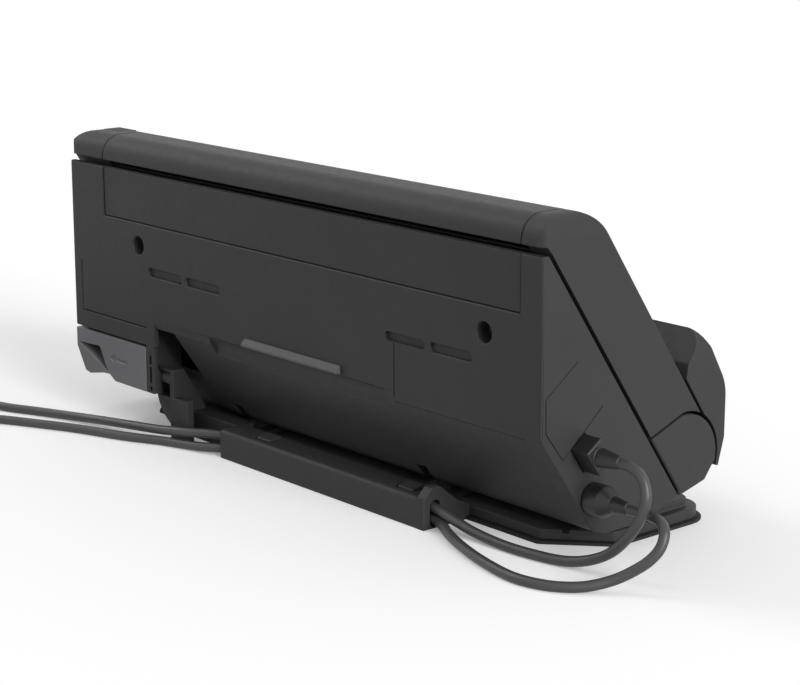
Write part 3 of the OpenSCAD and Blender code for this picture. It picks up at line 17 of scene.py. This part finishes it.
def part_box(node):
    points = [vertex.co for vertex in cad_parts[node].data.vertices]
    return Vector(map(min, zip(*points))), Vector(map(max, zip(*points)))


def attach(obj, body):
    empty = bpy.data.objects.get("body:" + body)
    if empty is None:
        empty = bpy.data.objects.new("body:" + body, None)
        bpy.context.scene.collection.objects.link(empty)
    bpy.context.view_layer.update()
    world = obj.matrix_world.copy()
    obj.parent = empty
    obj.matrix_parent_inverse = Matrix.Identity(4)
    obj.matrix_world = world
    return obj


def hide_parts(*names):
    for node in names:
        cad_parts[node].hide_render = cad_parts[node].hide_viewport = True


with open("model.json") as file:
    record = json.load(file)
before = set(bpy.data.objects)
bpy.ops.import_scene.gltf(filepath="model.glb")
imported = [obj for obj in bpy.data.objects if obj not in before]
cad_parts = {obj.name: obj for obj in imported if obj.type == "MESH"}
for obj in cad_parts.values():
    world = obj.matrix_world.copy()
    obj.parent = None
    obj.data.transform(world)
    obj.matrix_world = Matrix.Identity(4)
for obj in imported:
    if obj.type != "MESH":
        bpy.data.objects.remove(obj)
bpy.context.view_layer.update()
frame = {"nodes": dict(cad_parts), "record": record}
MM = 0.001
slot_of_node = {s["node"]: s["material_slot"] for s in frame["record"]["subparts"]}

# %% [markdown]
# ## The camera
# The photograph was taken from behind and a little above, with the socket end nearest.
# A camera can be set by eye, but here its place, direction and lens were fitted to the
# straight edges of the back, so that each later piece can be compared in place.

# %% Camera
PHOTO_WIDTH = 800
FOCAL_PX = 2136
SENSOR_MM = 36
CAMERA_AT = Vector((-660.9, 567.5, 257.3)) * MM
YAW = math.radians(-40.9)
PITCH = math.radians(13.4)
NEAREST = 0.01
FURTHEST = 50

camera_data = bpy.data.cameras.new("camera")
camera_data.sensor_fit = "HORIZONTAL"
camera_data.sensor_width = SENSOR_MM
camera_data.lens = FOCAL_PX * SENSOR_MM / PHOTO_WIDTH
camera_data.clip_start = NEAREST
camera_data.clip_end = FURTHEST
camera = bpy.data.objects.new("camera", camera_data)
bpy.context.scene.collection.objects.link(camera)
forward = Vector(
    (math.cos(YAW) * math.cos(PITCH), math.sin(YAW) * math.cos(PITCH), -math.sin(PITCH))
)
right = Vector((math.sin(YAW), -math.cos(YAW), 0))
up = right.cross(forward)
turn = Matrix((right, up, -forward)).transposed()
camera.matrix_world = Matrix.Translation(CAMERA_AT) @ turn.to_4x4()
bpy.context.scene.camera = camera
print("lens", round(camera_data.lens, 2), "mm")

# %% [markdown]
# ## Finishes
# The scanner is moulded in one charcoal plastic with a fine spark-eroded grain, which
# looks flat from a step away and breaks up the highlights close by. A picture could show
# that, but noise in the piece's own coordinates keeps its size on every surface. So each
# finish here is a Principled shader with a slow change of tone, a quick one of
# roughness, and a bump at the size of the real grain.

# %% Node helpers
def new_material(name):
    material = bpy.data.materials.new(name)
    material.use_nodes = True
    tree = material.node_tree
    shader = tree.nodes["Principled BSDF"]
    place = tree.nodes.new("ShaderNodeTexCoord")
    return material, tree, shader, place.outputs["Object"]


def noise(tree, where, size, detail=2.0, stretch=(1, 1, 1)):
    """Noise whose blotches are about size metres across."""
    mapping = tree.nodes.new("ShaderNodeMapping")
    mapping.inputs["Scale"].default_value = [1 / (size * s) for s in stretch]
    tree.links.new(where, mapping.inputs["Vector"])
    texture = tree.nodes.new("ShaderNodeTexNoise")
    texture.inputs["Scale"].default_value = 1
    texture.inputs["Detail"].default_value = detail
    tree.links.new(mapping.outputs["Vector"], texture.inputs["Vector"])
    return texture.outputs["Fac"]


def spread_between(tree, value, low, high, start=0.3, end=0.7):
    """value, spread so that start gives low and end gives high."""
    node = tree.nodes.new("ShaderNodeMapRange")
    node.inputs["From Min"].default_value = start
    node.inputs["From Max"].default_value = end
    node.inputs["To Min"].default_value = low
    node.inputs["To Max"].default_value = high
    tree.links.new(value, node.inputs["Value"])
    return node.outputs["Result"]


def toned(tree, value, color, change):
    """color, made darker and lighter by change as value goes up."""
    mix = tree.nodes.new("ShaderNodeMix")
    mix.data_type = "RGBA"
    mix.inputs["A"].default_value = [c * (1 - change) for c in color] + [1]
    mix.inputs["B"].default_value = [c * (1 + change) for c in color] + [1]
    tree.links.new(spread_between(tree, value, 0, 1), mix.inputs["Factor"])
    return mix.outputs["Result"]


def bumped(tree, shader, value, depth, strength):
    bump = tree.nodes.new("ShaderNodeBump")
    bump.inputs["Distance"].default_value = depth
    bump.inputs["Strength"].default_value = strength
    tree.links.new(value, bump.inputs["Height"])
    tree.links.new(bump.outputs["Normal"], shader.inputs["Normal"])


# %% Moulded plastic, rubber, metal and glass
GRAIN = 0.35 * MM
CLOUD = 30 * MM
SPECKLE = 3 * MM
GRAIN_DEPTH = 0.02 * MM
SHINE_CHANGE = 0.04


def moulded(name, color, rough=0.5, grain=0.3, change=0.05, specular=0.5):
    material, tree, shader, where = new_material(name)
    tone = toned(tree, noise(tree, where, CLOUD, 3), color, change)
    tree.links.new(tone, shader.inputs["Base Color"])
    speckle = noise(tree, where, SPECKLE)
    shine = spread_between(tree, speckle, rough - SHINE_CHANGE, rough + SHINE_CHANGE)
    tree.links.new(shine, shader.inputs["Roughness"])
    shader.inputs["Specular IOR Level"].default_value = specular
    bumped(tree, shader, noise(tree, where, GRAIN, 1), GRAIN_DEPTH, grain)
    return material


BRUSH_LINE = 0.4 * MM
BRUSH_DEPTH = 0.01 * MM
BRUSH_STRENGTH = 0.2


def metal(name, color, rough, stretch):
    material, tree, shader, where = new_material(name)
    brushed = noise(tree, where, BRUSH_LINE, 3, stretch)
    tree.links.new(toned(tree, brushed, color, 0.06), shader.inputs["Base Color"])
    shine = spread_between(tree, brushed, rough - 0.06, rough + 0.08)
    tree.links.new(shine, shader.inputs["Roughness"])
    shader.inputs["Metallic"].default_value = 1
    bumped(tree, shader, brushed, BRUSH_DEPTH, BRUSH_STRENGTH)
    return material


SMEAR = 8 * MM


def clear_glass(name, color):
    material, tree, shader, where = new_material(name)
    tone = toned(tree, noise(tree, where, CLOUD), color, 0.02)
    tree.links.new(tone, shader.inputs["Base Color"])
    smear = spread_between(tree, noise(tree, where, SMEAR), 0.02, 0.06)
    tree.links.new(smear, shader.inputs["Roughness"])
    shader.inputs["Transmission Weight"].default_value = 0.85
    return material


finishes = {
    "charcoal_plastic": moulded("charcoal plastic", (0.038, 0.038, 0.0385), 0.52, specular=0.2),
    "side_plastic": moulded("side plastic", (0.038, 0.038, 0.0385), 0.52, specular=0.2),
    "selector_plastic": moulded("selector plastic", (0.178, 0.179, 0.186), 0.4, specular=0.22),
    "button_plastic": moulded("button plastic", (0.10, 0.10, 0.103)),
    "scan_button_plastic": moulded("scan button plastic", (0.06, 0.15, 0.28), 0.35, 0.1),
    "black_plastic": moulded("black plastic", (0.012, 0.012, 0.013), 0.45),
    "gloss_black": moulded("gloss black", (0.010, 0.010, 0.011), 0.12, 0.02, 0.02),
    "roller_plastic": moulded("roller plastic", (0.55, 0.55, 0.52), 0.4, 0.1, 0.03),
    "black_rubber": moulded("black rubber", (0.018, 0.018, 0.018), 0.75, 0.5, 0.12, 0.3),
    "grey_rubber": moulded("grey rubber", (0.092, 0.092, 0.094), 0.6, 0.4, 0.06, 0.3),
    "brown_rubber": moulded("brown rubber", (0.12, 0.055, 0.035), 0.7, 0.4, 0.1, 0.3),
    "lead_jacket": moulded("lead jacket", (0.052, 0.052, 0.054), 0.42, 0.1, 0.06),
    "steel": metal("plain steel", (0.62, 0.63, 0.65), 0.28, (8, 1, 1)),
    "sheet_steel": metal("sheet steel", (0.50, 0.51, 0.53), 0.38, (1, 1, 12)),
    "board": moulded("circuit board", (0.02, 0.13, 0.06), 0.35, 0.1, 0.15),
    "sensor_glass": clear_glass("sensor glass", (0.75, 0.85, 0.87)),
    "light_lens": moulded("light lens", (0.15, 0.5, 0.25), 0.2, 0.02, 0.03),
}
print(len(finishes), "finishes")

# %% [markdown]
# ## The leads
# Two soft leads, 4 mm thick, come out of the plugs, turn back on the desk behind the
# base, run side by side through the cable holder and leave the picture. A simulation
# would choose its own loops, so each lead is one smooth curve through the points that
# the CAD source follows. What the picture doesn't show is put away in a round coil.

# %% Curves through points
def curve_at(p, i, s):
    """A smooth curve through the points p: the place between points i and i + 1."""
    b, c = p[i], p[i + 1]
    a = p[i - 1] if i > 0 else 2 * b - c
    d = p[i + 2] if i + 2 < len(p) else 2 * c - b
    bend = (2 * a - 5 * b + 4 * c - d) * s**2 + (3 * b - a - 3 * c + d) * s**3
    return 0.5 * (2 * b + (c - a) * s + bend)


def eased(p, steps=8):
    """p, smoothed between its first and last points, which keep straight ends."""
    inner = p[1:-1]
    fine = [
        curve_at(inner, i, s / steps) for i in range(len(inner) - 1) for s in range(steps)
    ]
    return [p[0], *fine, inner[-1], p[-1]]


def length_of(p):
    return sum((b - a).length for a, b in zip(p, p[1:]))


LEAD_D = 4
COIL_PITCH = 4.5
COIL_LIFT = 0.25
COIL_STEPS = 48


def heading(first):
    angle = math.radians(first)
    return Vector((-math.sin(angle), math.cos(angle), 0))


def coil_point(at, radius, turns, first, s):
    """In towards the middle on the desk, up a layer, and out again."""
    angle = math.radians(first + 360 * s)
    out = radius + COIL_PITCH * abs(s - turns)
    rise = max(0, min(1, (s - turns + COIL_LIFT) * 2))
    x = at[0] + out * math.cos(angle)
    y = at[1] + out * math.sin(angle)
    return Vector((x, y, LEAD_D / 2 + COIL_PITCH * rise))


def whole_lead(route, at, radius, turns, first, tail):
    """The route to the coil, the coil and the tail, as one list of points in mm."""
    way = heading(first) * LEAD_D
    turn_count = 2 * turns
    start = coil_point(at, radius, turns, first, 0) - way
    end = coil_point(at, radius, turns, first, turn_count) + way
    coil = [
        coil_point(at, radius, turns, first, i / COIL_STEPS)
        for i in range(COIL_STEPS * turn_count + 1)
    ]
    leading = eased([Vector(p) for p in route] + [start - 2 * way, start - way, start])
    trailing = eased([end, end + way, end + 2 * way] + [Vector(p) for p in tail])
    return leading + coil + trailing


# %% The two routes
usb_route = [
    (-168, 37.9, 42.3), (-172, 37.9, 42.3), (-177, 38, 40.5), (-180, 38.3, 36.5),
    (-181, 39, 31), (-178.5, 39.6, 23.5), (-173, 40.5, 15.5), (-166, 41.5, 9),
    (-157, 43, 4.6), (-147, 45, 2.4), (-134, 47.5, 2.1), (-120, 48.7, 2.2),
    (-105, 49.4, 3.6), (-93, 49.8, 6), (-84, 50, 8), (-74, 50, 8.6), (-20, 50, 8.6),
    (38, 50.2, 8.6), (48, 51.6, 8.5), (57, 55, 8.2), (65, 58.6, 7.6), (73, 60.8, 7),
    (82, 62.4, 6), (100, 65.3, 4.8), (118, 68.2, 3.6), (134, 71.5, 2.6), (153, 78, 2.1),
    (172, 86, 2), (186, 87.5, 2), (198, 84, 2), (207, 80.4, 2),
]
dc_route = [
    (-168, 33.5, 24.5), (-172, 33.5, 24.5), (-178, 33.8, 24.8), (-184, 34.7, 24.2),
    (-188, 36.5, 21.4), (-188.5, 39, 16.5), (-186.5, 42, 12.2), (-182.5, 45.5, 8.2),
    (-177.5, 50.5, 4.6), (-172, 57.5, 2.5), (-166, 63.5, 2), (-158, 68, 2),
    (-146, 69.7, 2), (-128, 66.3, 2), (-110, 60.5, 2), (-97, 55, 2.2), (-88, 51, 3),
    (-79, 50, 3.4), (-20, 50, 3.4), (38, 50.3, 3.4), (48, 53, 3.2), (58, 57.6, 2.6),
    (68, 60.5, 2.2), (79, 64.2, 2), (95, 72, 2), (118, 80.5, 2), (137, 89.5, 2),
    (155, 99, 2), (165, 106.5, 2), (173, 116, 2),
]
usb_tail = [
    (239, 80.5, 5.6), (248, 85, 4.8), (256, 92, 4.3), (261, 101, 4), (263, 110, 4),
    (263, 114, 4),
]
dc_tail = [(194, 147, 6.3), (199, 154, 6.1), (204.5, 160, 6), (212, 163.5, 6), (216, 163.5, 6)]
lead_paths = {
    "usb": whole_lead(usb_route, (222, 112), 15, 4, -90, usb_tail),
    "dc": whole_lead(dc_route, (160, 152), 17.5, 3, -35, dc_tail),
}


def lay_lead(name, path, replaced):
    curve = bpy.data.curves.new(name, "CURVE")
    curve.dimensions = "3D"
    spline = curve.splines.new("POLY")
    spline.points.add(len(path) - 1)
    for point, place in zip(spline.points, path):
        point.co = (*(place * MM), 1)
    spline.use_smooth = True
    curve.bevel_depth = LEAD_D * MM / 2
    curve.bevel_resolution = 4
    curve.use_fill_caps = True
    curve.materials.append(finishes["lead_jacket"])
    lead = bpy.data.objects.new(name, curve)
    bpy.context.scene.collection.objects.link(lead)
    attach(lead, "base")
    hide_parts(*replaced)
    print(name, round(length_of(path)), "mm long")


lay_lead(
    "usb_cable",
    lead_paths["usb"],
    ("usb_lead", "usb_coil"),
)
lay_lead(
    "dc_cable",
    lead_paths["dc"],
    ("dc_lead", "dc_coil"),
)

# %% [markdown]
# ## The ends of the top bar
# On the real scanner the top bar ends in two rounded caps, like the end of a bolster.
# A bevel can't make a radius this large across the bar's own rounding, so each end is
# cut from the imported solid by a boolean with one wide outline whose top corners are
# round. The back's upright corners get a smaller radius in the same way, from above.

# %% How round each visible piece's edges are, in mm
EDGE_MM = {
    "rear_shell": 0.6,
    "rear_panel": 0.3,
    "rest_pad": 0.6,
    "lower_front_housing": 0.8,
    "adf_cover": 0.8,
    "output_guide": 0.8,
    "input_tray": 0.5,
    "tray_extension": 0.4,
    "edge_guide_left": 0.4,
    "edge_guide_right": 0.4,
    "position_selector": 0.25,
    "stand_arm": 0.35,
    "cable_holder": 0.6,
    "base_plate": 0.6,
    "base_foot": 0.3,
    "control_panel": 0.15,
    "power_button": 0.4,
    "stop_button": 0.4,
    "scan_button": 0.5,
    "cover_release": 0.2,
    "usb_plug": 0.7,
    "dc_plug": 0.5,
    "usb_far_plug": 0.6,
    "power_adapter": 1.2,
}
CORD_NODES = ("usb_lead", "usb_coil", "dc_lead", "dc_coil")

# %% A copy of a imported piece
BODY_OF = {
    node: body
    for body, nodes in frame["record"]["behaviour"]["bodies"].items()
    for node in nodes
}


def copied(node):
    piece = bpy.data.objects.new(f"{node}_dressed", frame["nodes"][node].data.copy())
    bpy.context.scene.collection.objects.link(piece)
    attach(piece, BODY_OF[node])
    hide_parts(node)
    piece.data.materials.clear()
    piece.data.materials.append(finishes[slot_of_node[node]])
    return piece


# %% Cutting with an outline
ROUND_STEPS = 14


def rounded_outline(half_width, low, top, radius):
    """An upright rectangle, as points across and up, with its two upper corners rounded."""
    points = [(-half_width, low), (half_width, low)]
    for side, first in ((1, 0), (-1, 90)):
        for i in range(ROUND_STEPS + 1):
            angle = math.radians(first + 90 * i / ROUND_STEPS)
            across = side * (half_width - radius) + radius * math.cos(angle)
            points.append((across, top - radius + radius * math.sin(angle)))
    return points


def kept_inside(piece, outline, start, end, place):
    """Cut piece with the prism of outline from start to end; place puts a point in space."""
    count = len(outline)
    corners = [place(a, b, c) for c in (start, end) for a, b in outline]
    sides = [(i, (i + 1) % count, (i + 1) % count + count, i + count) for i in range(count)]
    faces = [tuple(reversed(range(count))), tuple(range(count, 2 * count)), *sides]
    mesh = bpy.data.meshes.new("cutter")
    mesh.from_pydata(corners, [], faces)
    work = bmesh.new()
    work.from_mesh(mesh)
    bmesh.ops.recalc_face_normals(work, faces=work.faces)
    work.to_mesh(mesh)
    work.free()
    cutter = bpy.data.objects.new("cutter", mesh)
    bpy.context.scene.collection.objects.link(cutter)
    cut = piece.modifiers.new("cut", "BOOLEAN")
    cut.operation = "INTERSECT"
    cut.solver = "EXACT"
    cut.object = cutter
    shaped = bpy.data.meshes.new_from_object(
        piece.evaluated_get(bpy.context.evaluated_depsgraph_get())
    )
    piece.modifiers.clear()
    piece.data = shaped
    bpy.data.objects.remove(cutter)
    print(piece.name, "cut to", len(shaped.polygons), "faces")


# %% Round the caps and the back's corners
CAP_ROUND = 9 * MM
CAP_CORNER = 5.5 * MM
SHELL_ROUND = 2 * MM
OVER = 5 * MM
cover_low, cover_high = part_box("adf_cover")
shell_low, shell_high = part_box("rear_shell")
dressed = {node: copied(node) for node in EDGE_MM}
half_cover = cover_high[0]
kept_inside(
    dressed["adf_cover"],
    rounded_outline(half_cover, cover_low[2] - OVER, cover_high[2], CAP_ROUND),
    cover_low[1] - OVER,
    cover_high[1] + OVER,
    lambda a, b, c: (a, c, b),
)
kept_inside(
    dressed["adf_cover"],
    rounded_outline(half_cover, cover_low[1] - OVER, cover_high[1], CAP_CORNER),
    cover_low[2] - OVER,
    cover_high[2] + OVER,
    lambda a, b, c: (a, b, c),
)
kept_inside(
    dressed["rear_shell"],
    rounded_outline(shell_high[0], shell_low[1] - OVER, shell_high[1], SHELL_ROUND),
    shell_low[2] - OVER,
    shell_high[2] + OVER,
    lambda a, b, c: (a, b, c),
)

# %% [markdown]
# ## Wider seams
# Where two mouldings meet, the real seam is a dark line about half a millimetre wide.
# A bevel opens the seam and lets light in, so the line would fade. The bar and the panel
# are therefore drawn in a little at their ends, which keeps the seams dark.

# %% Draw a side in
SEAM = 0.3 * MM
NEAR = 0.02 * MM


def drawn_in(piece, side, by):
    """Move the flat end of piece that lies furthest to side (-1 or 1) inwards by by."""
    end = side * max(side * vertex.co.x for vertex in piece.data.vertices)
    for vertex in piece.data.vertices:
        if abs(vertex.co.x - end) < NEAR:
            vertex.co.x -= side * by


for node in ("input_tray", "rear_panel"):
    for side in (-1, 1):
        drawn_in(dressed[node], side, SEAM)

# %% [markdown]
# ## Floors of the vents and a lip
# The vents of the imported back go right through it, and those of the real back are blind
# slots, as far as the photograph shows. Each vent gets a floor of its own, extruded from
# the slot's outline. Beside the arm, a small lip goes on below the wall of the notch. It
# isn't on the real scanner, and hides a spot of ground seen through the arm's window.

# %% Outlines in the X-Z plane, extruded along Y
def slab(name, outline, y, thick, body, slot):
    """A piece whose outline lies at y and goes thick towards -Y."""
    count = len(outline)
    corners = [(x, y - d, z) for d in (0, thick) for x, z in outline]
    sides = [(i, i + count, (i + 1) % count + count, (i + 1) % count) for i in range(count)]
    faces = [tuple(range(count)), tuple(reversed(range(count, 2 * count))), *sides]
    mesh = bpy.data.meshes.new(name)
    mesh.from_pydata(corners, [], faces)
    work = bmesh.new()
    work.from_mesh(mesh)
    bmesh.ops.recalc_face_normals(work, faces=work.faces)
    work.to_mesh(mesh)
    work.free()
    mesh.materials.append(finishes[slot])
    piece = bpy.data.objects.new(name, mesh)
    bpy.context.scene.collection.objects.link(piece)
    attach(piece, body)


def slot_outline(x0, x1, z, half, steps=8):
    """A slot with round ends, from x0 to x1, half its height above and below z."""
    points = []
    for x, first in ((x1 - half, -90), (x0 + half, 90)):
        for i in range(steps + 1):
            angle = math.radians(first + 180 * i / steps)
            points.append((x + half * math.cos(angle), z + half * math.sin(angle)))
    return points


# %% Vent floors
VENTS_MM = ((65.8, 90.4), (38.6, 63), (-88.8, -66.1), (-114.3, -91.4))
VENT_Z = 74 * MM
VENT_HALF = 1.8 * MM
VENT_DEEP = 1.5 * MM
VENT_FLOOR = 0.8 * MM
back_y = shell_high[1]
for number, (x0, x1) in enumerate(VENTS_MM):
    outline = slot_outline(x0 * MM, x1 * MM, VENT_Z, VENT_HALF)
    name = f"vent_floor_{number + 1}"
    slab(name, outline, back_y - VENT_DEEP, VENT_FLOOR, "main", "charcoal_plastic")
print(len(VENTS_MM), "vent floors")

# %% The lip that closes the notch beside the stand's arm
LIP_X_MM = (92.4, 93.3)
LIP_Y_MM = (46, 53)
LIP_Z_MM = (16.8, 20.05)
(x0, x1), (z0, z1) = ([v * MM for v in span] for span in (LIP_X_MM, LIP_Z_MM))
lip_outline = [(x0, z0), (x1, z0), (x1, z1), (x0, z1)]
lip_deep = (LIP_Y_MM[1] - LIP_Y_MM[0]) * MM
slab("notch_lip", lip_outline, LIP_Y_MM[1] * MM, lip_deep, "main", "charcoal_plastic")

# %% [markdown]
# ## Softened edges
# No moulded edge is sharp: each has a small radius that catches a thin line of light.
# The CAD solids have true corners. One bevel width for a whole piece would either be too
# small for the open edges or make the fine grooves cross themselves, so each sharp edge
# first measures the room beside it, and the bevel is no wider than that room allows.

# %% How much room an edge has
SHARP = math.radians(28)
IN_LINE = math.cos(math.radians(38))
ROOM_SHARE = 0.42


def is_sharp(edge):
    return len(edge.link_faces) == 2 and edge.calc_face_angle(0) > SHARP


def runs_on(a, b):
    """Whether edges a and b share a corner and go on in nearly the same direction."""
    shared = set(a.verts) & set(b.verts)
    if not shared:
        return False
    corner = shared.pop()
    way_a = (a.other_vert(corner).co - corner.co).normalized()
    way_b = (b.other_vert(corner).co - corner.co).normalized()
    return -way_a.dot(way_b) > IN_LINE


def gap_between(a, b):
    """The least distance from the ends and middle of edge a to edge b."""
    start, end = b.verts[0].co, b.verts[1].co
    along = end - start
    length = along.length_squared
    first, last = a.verts[0].co, a.verts[1].co
    gaps = []
    for point in (first, (first + last) / 2, last):
        share = max(0, min(1, (point - start).dot(along) / length)) if length else 0
        gaps.append((point - start - share * along).length)
    return min(gaps)


def runs_of(sharp):
    """For each sharp edge, the number of the run of following edges that it is in."""
    run = {}
    for first in sharp:
        if first in run:
            continue
        number = len(run)
        run[first] = number
        waiting = [first]
        while waiting:
            edge = waiting.pop()
            for corner in edge.verts:
                for other in corner.link_edges:
                    if other in sharp and other not in run and runs_on(edge, other):
                        run[other] = number
                        waiting.append(other)
    return run


def room_beside(face, sharp, run):
    """For each sharp edge of a face, the distance to the sharp edges of other runs."""
    room = {}
    edges = [edge for edge in face.edges if edge in sharp]
    for a in edges:
        gaps = [1.0]
        for b in edges:
            if run[a] == run[b]:
                continue
            if set(a.verts) & set(b.verts):
                gaps.append(b.calc_length())
            else:
                gaps.append(min(gap_between(a, b), gap_between(b, a)))
        room[a] = min(gaps)
    return room


# %% Bevels on the dressed pieces
JOIN = 0.002 * MM
WIDE = 1.8 * MM
FLAT_ANGLE = math.radians(0.4)
DOWNWARD = -0.2


def is_end_rim(edge, end_x):
    """Whether the edge runs round the socket end, where the underside meets it."""
    at_end = all(-corner.co.x > end_x - JOIN for corner in edge.verts)
    return at_end and min(face.normal.z for face in edge.link_faces) < DOWNWARD


def soften(piece, width, wide=False):
    """Bevel piece's sharp edges by width or less, and return how many there are."""
    mesh = piece.data
    most = max(width, WIDE) if wide else width
    end_x = max(vertex.co.x for vertex in mesh.vertices)
    work = bmesh.new()
    work.from_mesh(mesh)
    bmesh.ops.remove_doubles(work, verts=work.verts, dist=JOIN)
    bmesh.ops.dissolve_limit(
        work, angle_limit=FLAT_ANGLE, verts=work.verts, edges=work.edges, delimit={"NORMAL"}
    )
    weight = work.edges.layers.float.new("bevel_weight_edge")
    sharp = {edge for edge in work.edges if is_sharp(edge)}
    run = runs_of(sharp)
    least = {}
    for face in work.faces:
        for edge, room in room_beside(face, sharp, run).items():
            least[run[edge]] = min(least.get(run[edge], 1), room)
    for edge in sharp:
        wanted = WIDE if wide and is_end_rim(edge, end_x) else width
        edge[weight] = min(wanted, ROOM_SHARE * least[run[edge]]) / most
    for face in work.faces:
        face.smooth = True
    work.to_mesh(mesh)
    work.free()
    mesh.set_sharp_from_angle(angle=SHARP)
    bevel = piece.modifiers.new("soft edges", "BEVEL")
    bevel.width = most
    bevel.segments = 3
    bevel.limit_method = "WEIGHT"
    bevel.use_clamp_overlap = False
    even = piece.modifiers.new("even shading", "WEIGHTED_NORMAL")
    even.keep_sharp = True
    even.weight = 100
    return len(sharp)


edge_count = sum(
    soften(piece, EDGE_MM[node] * MM, node == "rear_shell") for node, piece in dressed.items()
)
print(len(dressed), "pieces,", edge_count, "softened edges")

# %% Pieces that stay as they are
# Plain steel would shine out of the screw wells, which are dark in the photograph.
# The screws' steel is darkened as painted shade: it stands in for the shade inside their deep
# wells.
steel_with_painted_shade = metal("steel darkened as painted well shade", (0.09, 0.09, 0.095), 0.4, (4, 4, 1))
for node, piece in frame["nodes"].items():
    if node in dressed or node in CORD_NODES:
        continue
    finish = steel_with_painted_shade if node == "back_screws" else finishes[slot_of_node[node]]
    for material_slot in piece.material_slots:
        material_slot.link = "OBJECT"
        material_slot.material = finish

# %% [markdown]
# ## The desk and the light
# The photograph has a plain white ground with a soft shadow. The desk is one large pale
# sheet, lit by an even sky and two soft suns: a low one at the socket end and a weak, high
# one along the top bar. The sheet and the sky are white only to the rays that see them
# directly or in a gloss, so that they throw no more light on the object.

# %% Which rays see the white ground
def seen_directly(tree):
    """1 for camera, glossy and transmission rays, and 0 for the rays that light surfaces."""
    rays = tree.nodes.new("ShaderNodeLightPath")
    total = rays.outputs["Is Camera Ray"]
    for kind in ("Is Glossy Ray", "Is Transmission Ray"):
        either = tree.nodes.new("ShaderNodeMath")
        either.operation = "MAXIMUM"
        tree.links.new(total, either.inputs[0])
        tree.links.new(rays.outputs[kind], either.inputs[1])
        total = either.outputs[0]
    return total


# %% Desk
DESK_SIZE = 60
DESK_WHITE = 0.93
DESK_BOUNCE = 0.35
DESK_LIFT = 0.21
desk_mesh = bpy.data.meshes.new("desk")
half = DESK_SIZE / 2
desk_corners = [(x * half, y * half, 0) for x, y in ((-1, -1), (1, -1), (1, 1), (-1, 1))]
desk_mesh.from_pydata(desk_corners, [], [(0, 1, 2, 3)])
desk = bpy.data.objects.new("desk", desk_mesh)
bpy.context.scene.collection.objects.link(desk)

desk_material = bpy.data.materials.new("white desk")
desk_material.use_nodes = True
tree = desk_material.node_tree
tree.nodes.remove(tree.nodes["Principled BSDF"])
paper = tree.nodes.new("ShaderNodeBsdfDiffuse")
lift = tree.nodes.new("ShaderNodeEmission")
direct = seen_directly(tree)
white = spread_between(tree, direct, DESK_BOUNCE, DESK_WHITE, 0, 1)
tone = tree.nodes.new("ShaderNodeCombineColor")
for channel in tone.inputs:
    tree.links.new(white, channel)
tree.links.new(tone.outputs[0], paper.inputs["Color"])
tree.links.new(spread_between(tree, direct, 0, DESK_LIFT, 0, 1), lift.inputs["Strength"])
both = tree.nodes.new("ShaderNodeAddShader")
tree.links.new(paper.outputs[0], both.inputs[0])
tree.links.new(lift.outputs[0], both.inputs[1])
tree.links.new(both.outputs[0], tree.nodes["Material Output"].inputs["Surface"])
desk_mesh.materials.append(desk_material)

# %% Sky
SKY = 0.52
world = bpy.data.worlds.new("studio")
bpy.context.scene.world = world
world.use_nodes = True
tree = world.node_tree
sky = tree.nodes["Background"]
sky.inputs["Color"].default_value = (1, 1, 1, 1)
tree.links.new(spread_between(tree, seen_directly(tree), SKY, 1, 0, 1), sky.inputs["Strength"])


# %% Two soft suns
def soft_sun(name, come_from, energy, spread):
    data = bpy.data.lights.new(name, "SUN")
    data.energy = energy
    data.angle = math.radians(spread)
    sun = bpy.data.objects.new(name, data)
    bpy.context.scene.collection.objects.link(sun)
    sun.rotation_euler = Vector(come_from).to_track_quat("Z", "Y").to_euler()


soft_sun("light from the socket end", (-0.93, 0.1, 0.3), 2.6, 30)
soft_sun("light along the top bar", (0.72, 0.27, 0.61), 0.5, 22)
bpy.context.scene.view_settings.view_transform = "Standard"
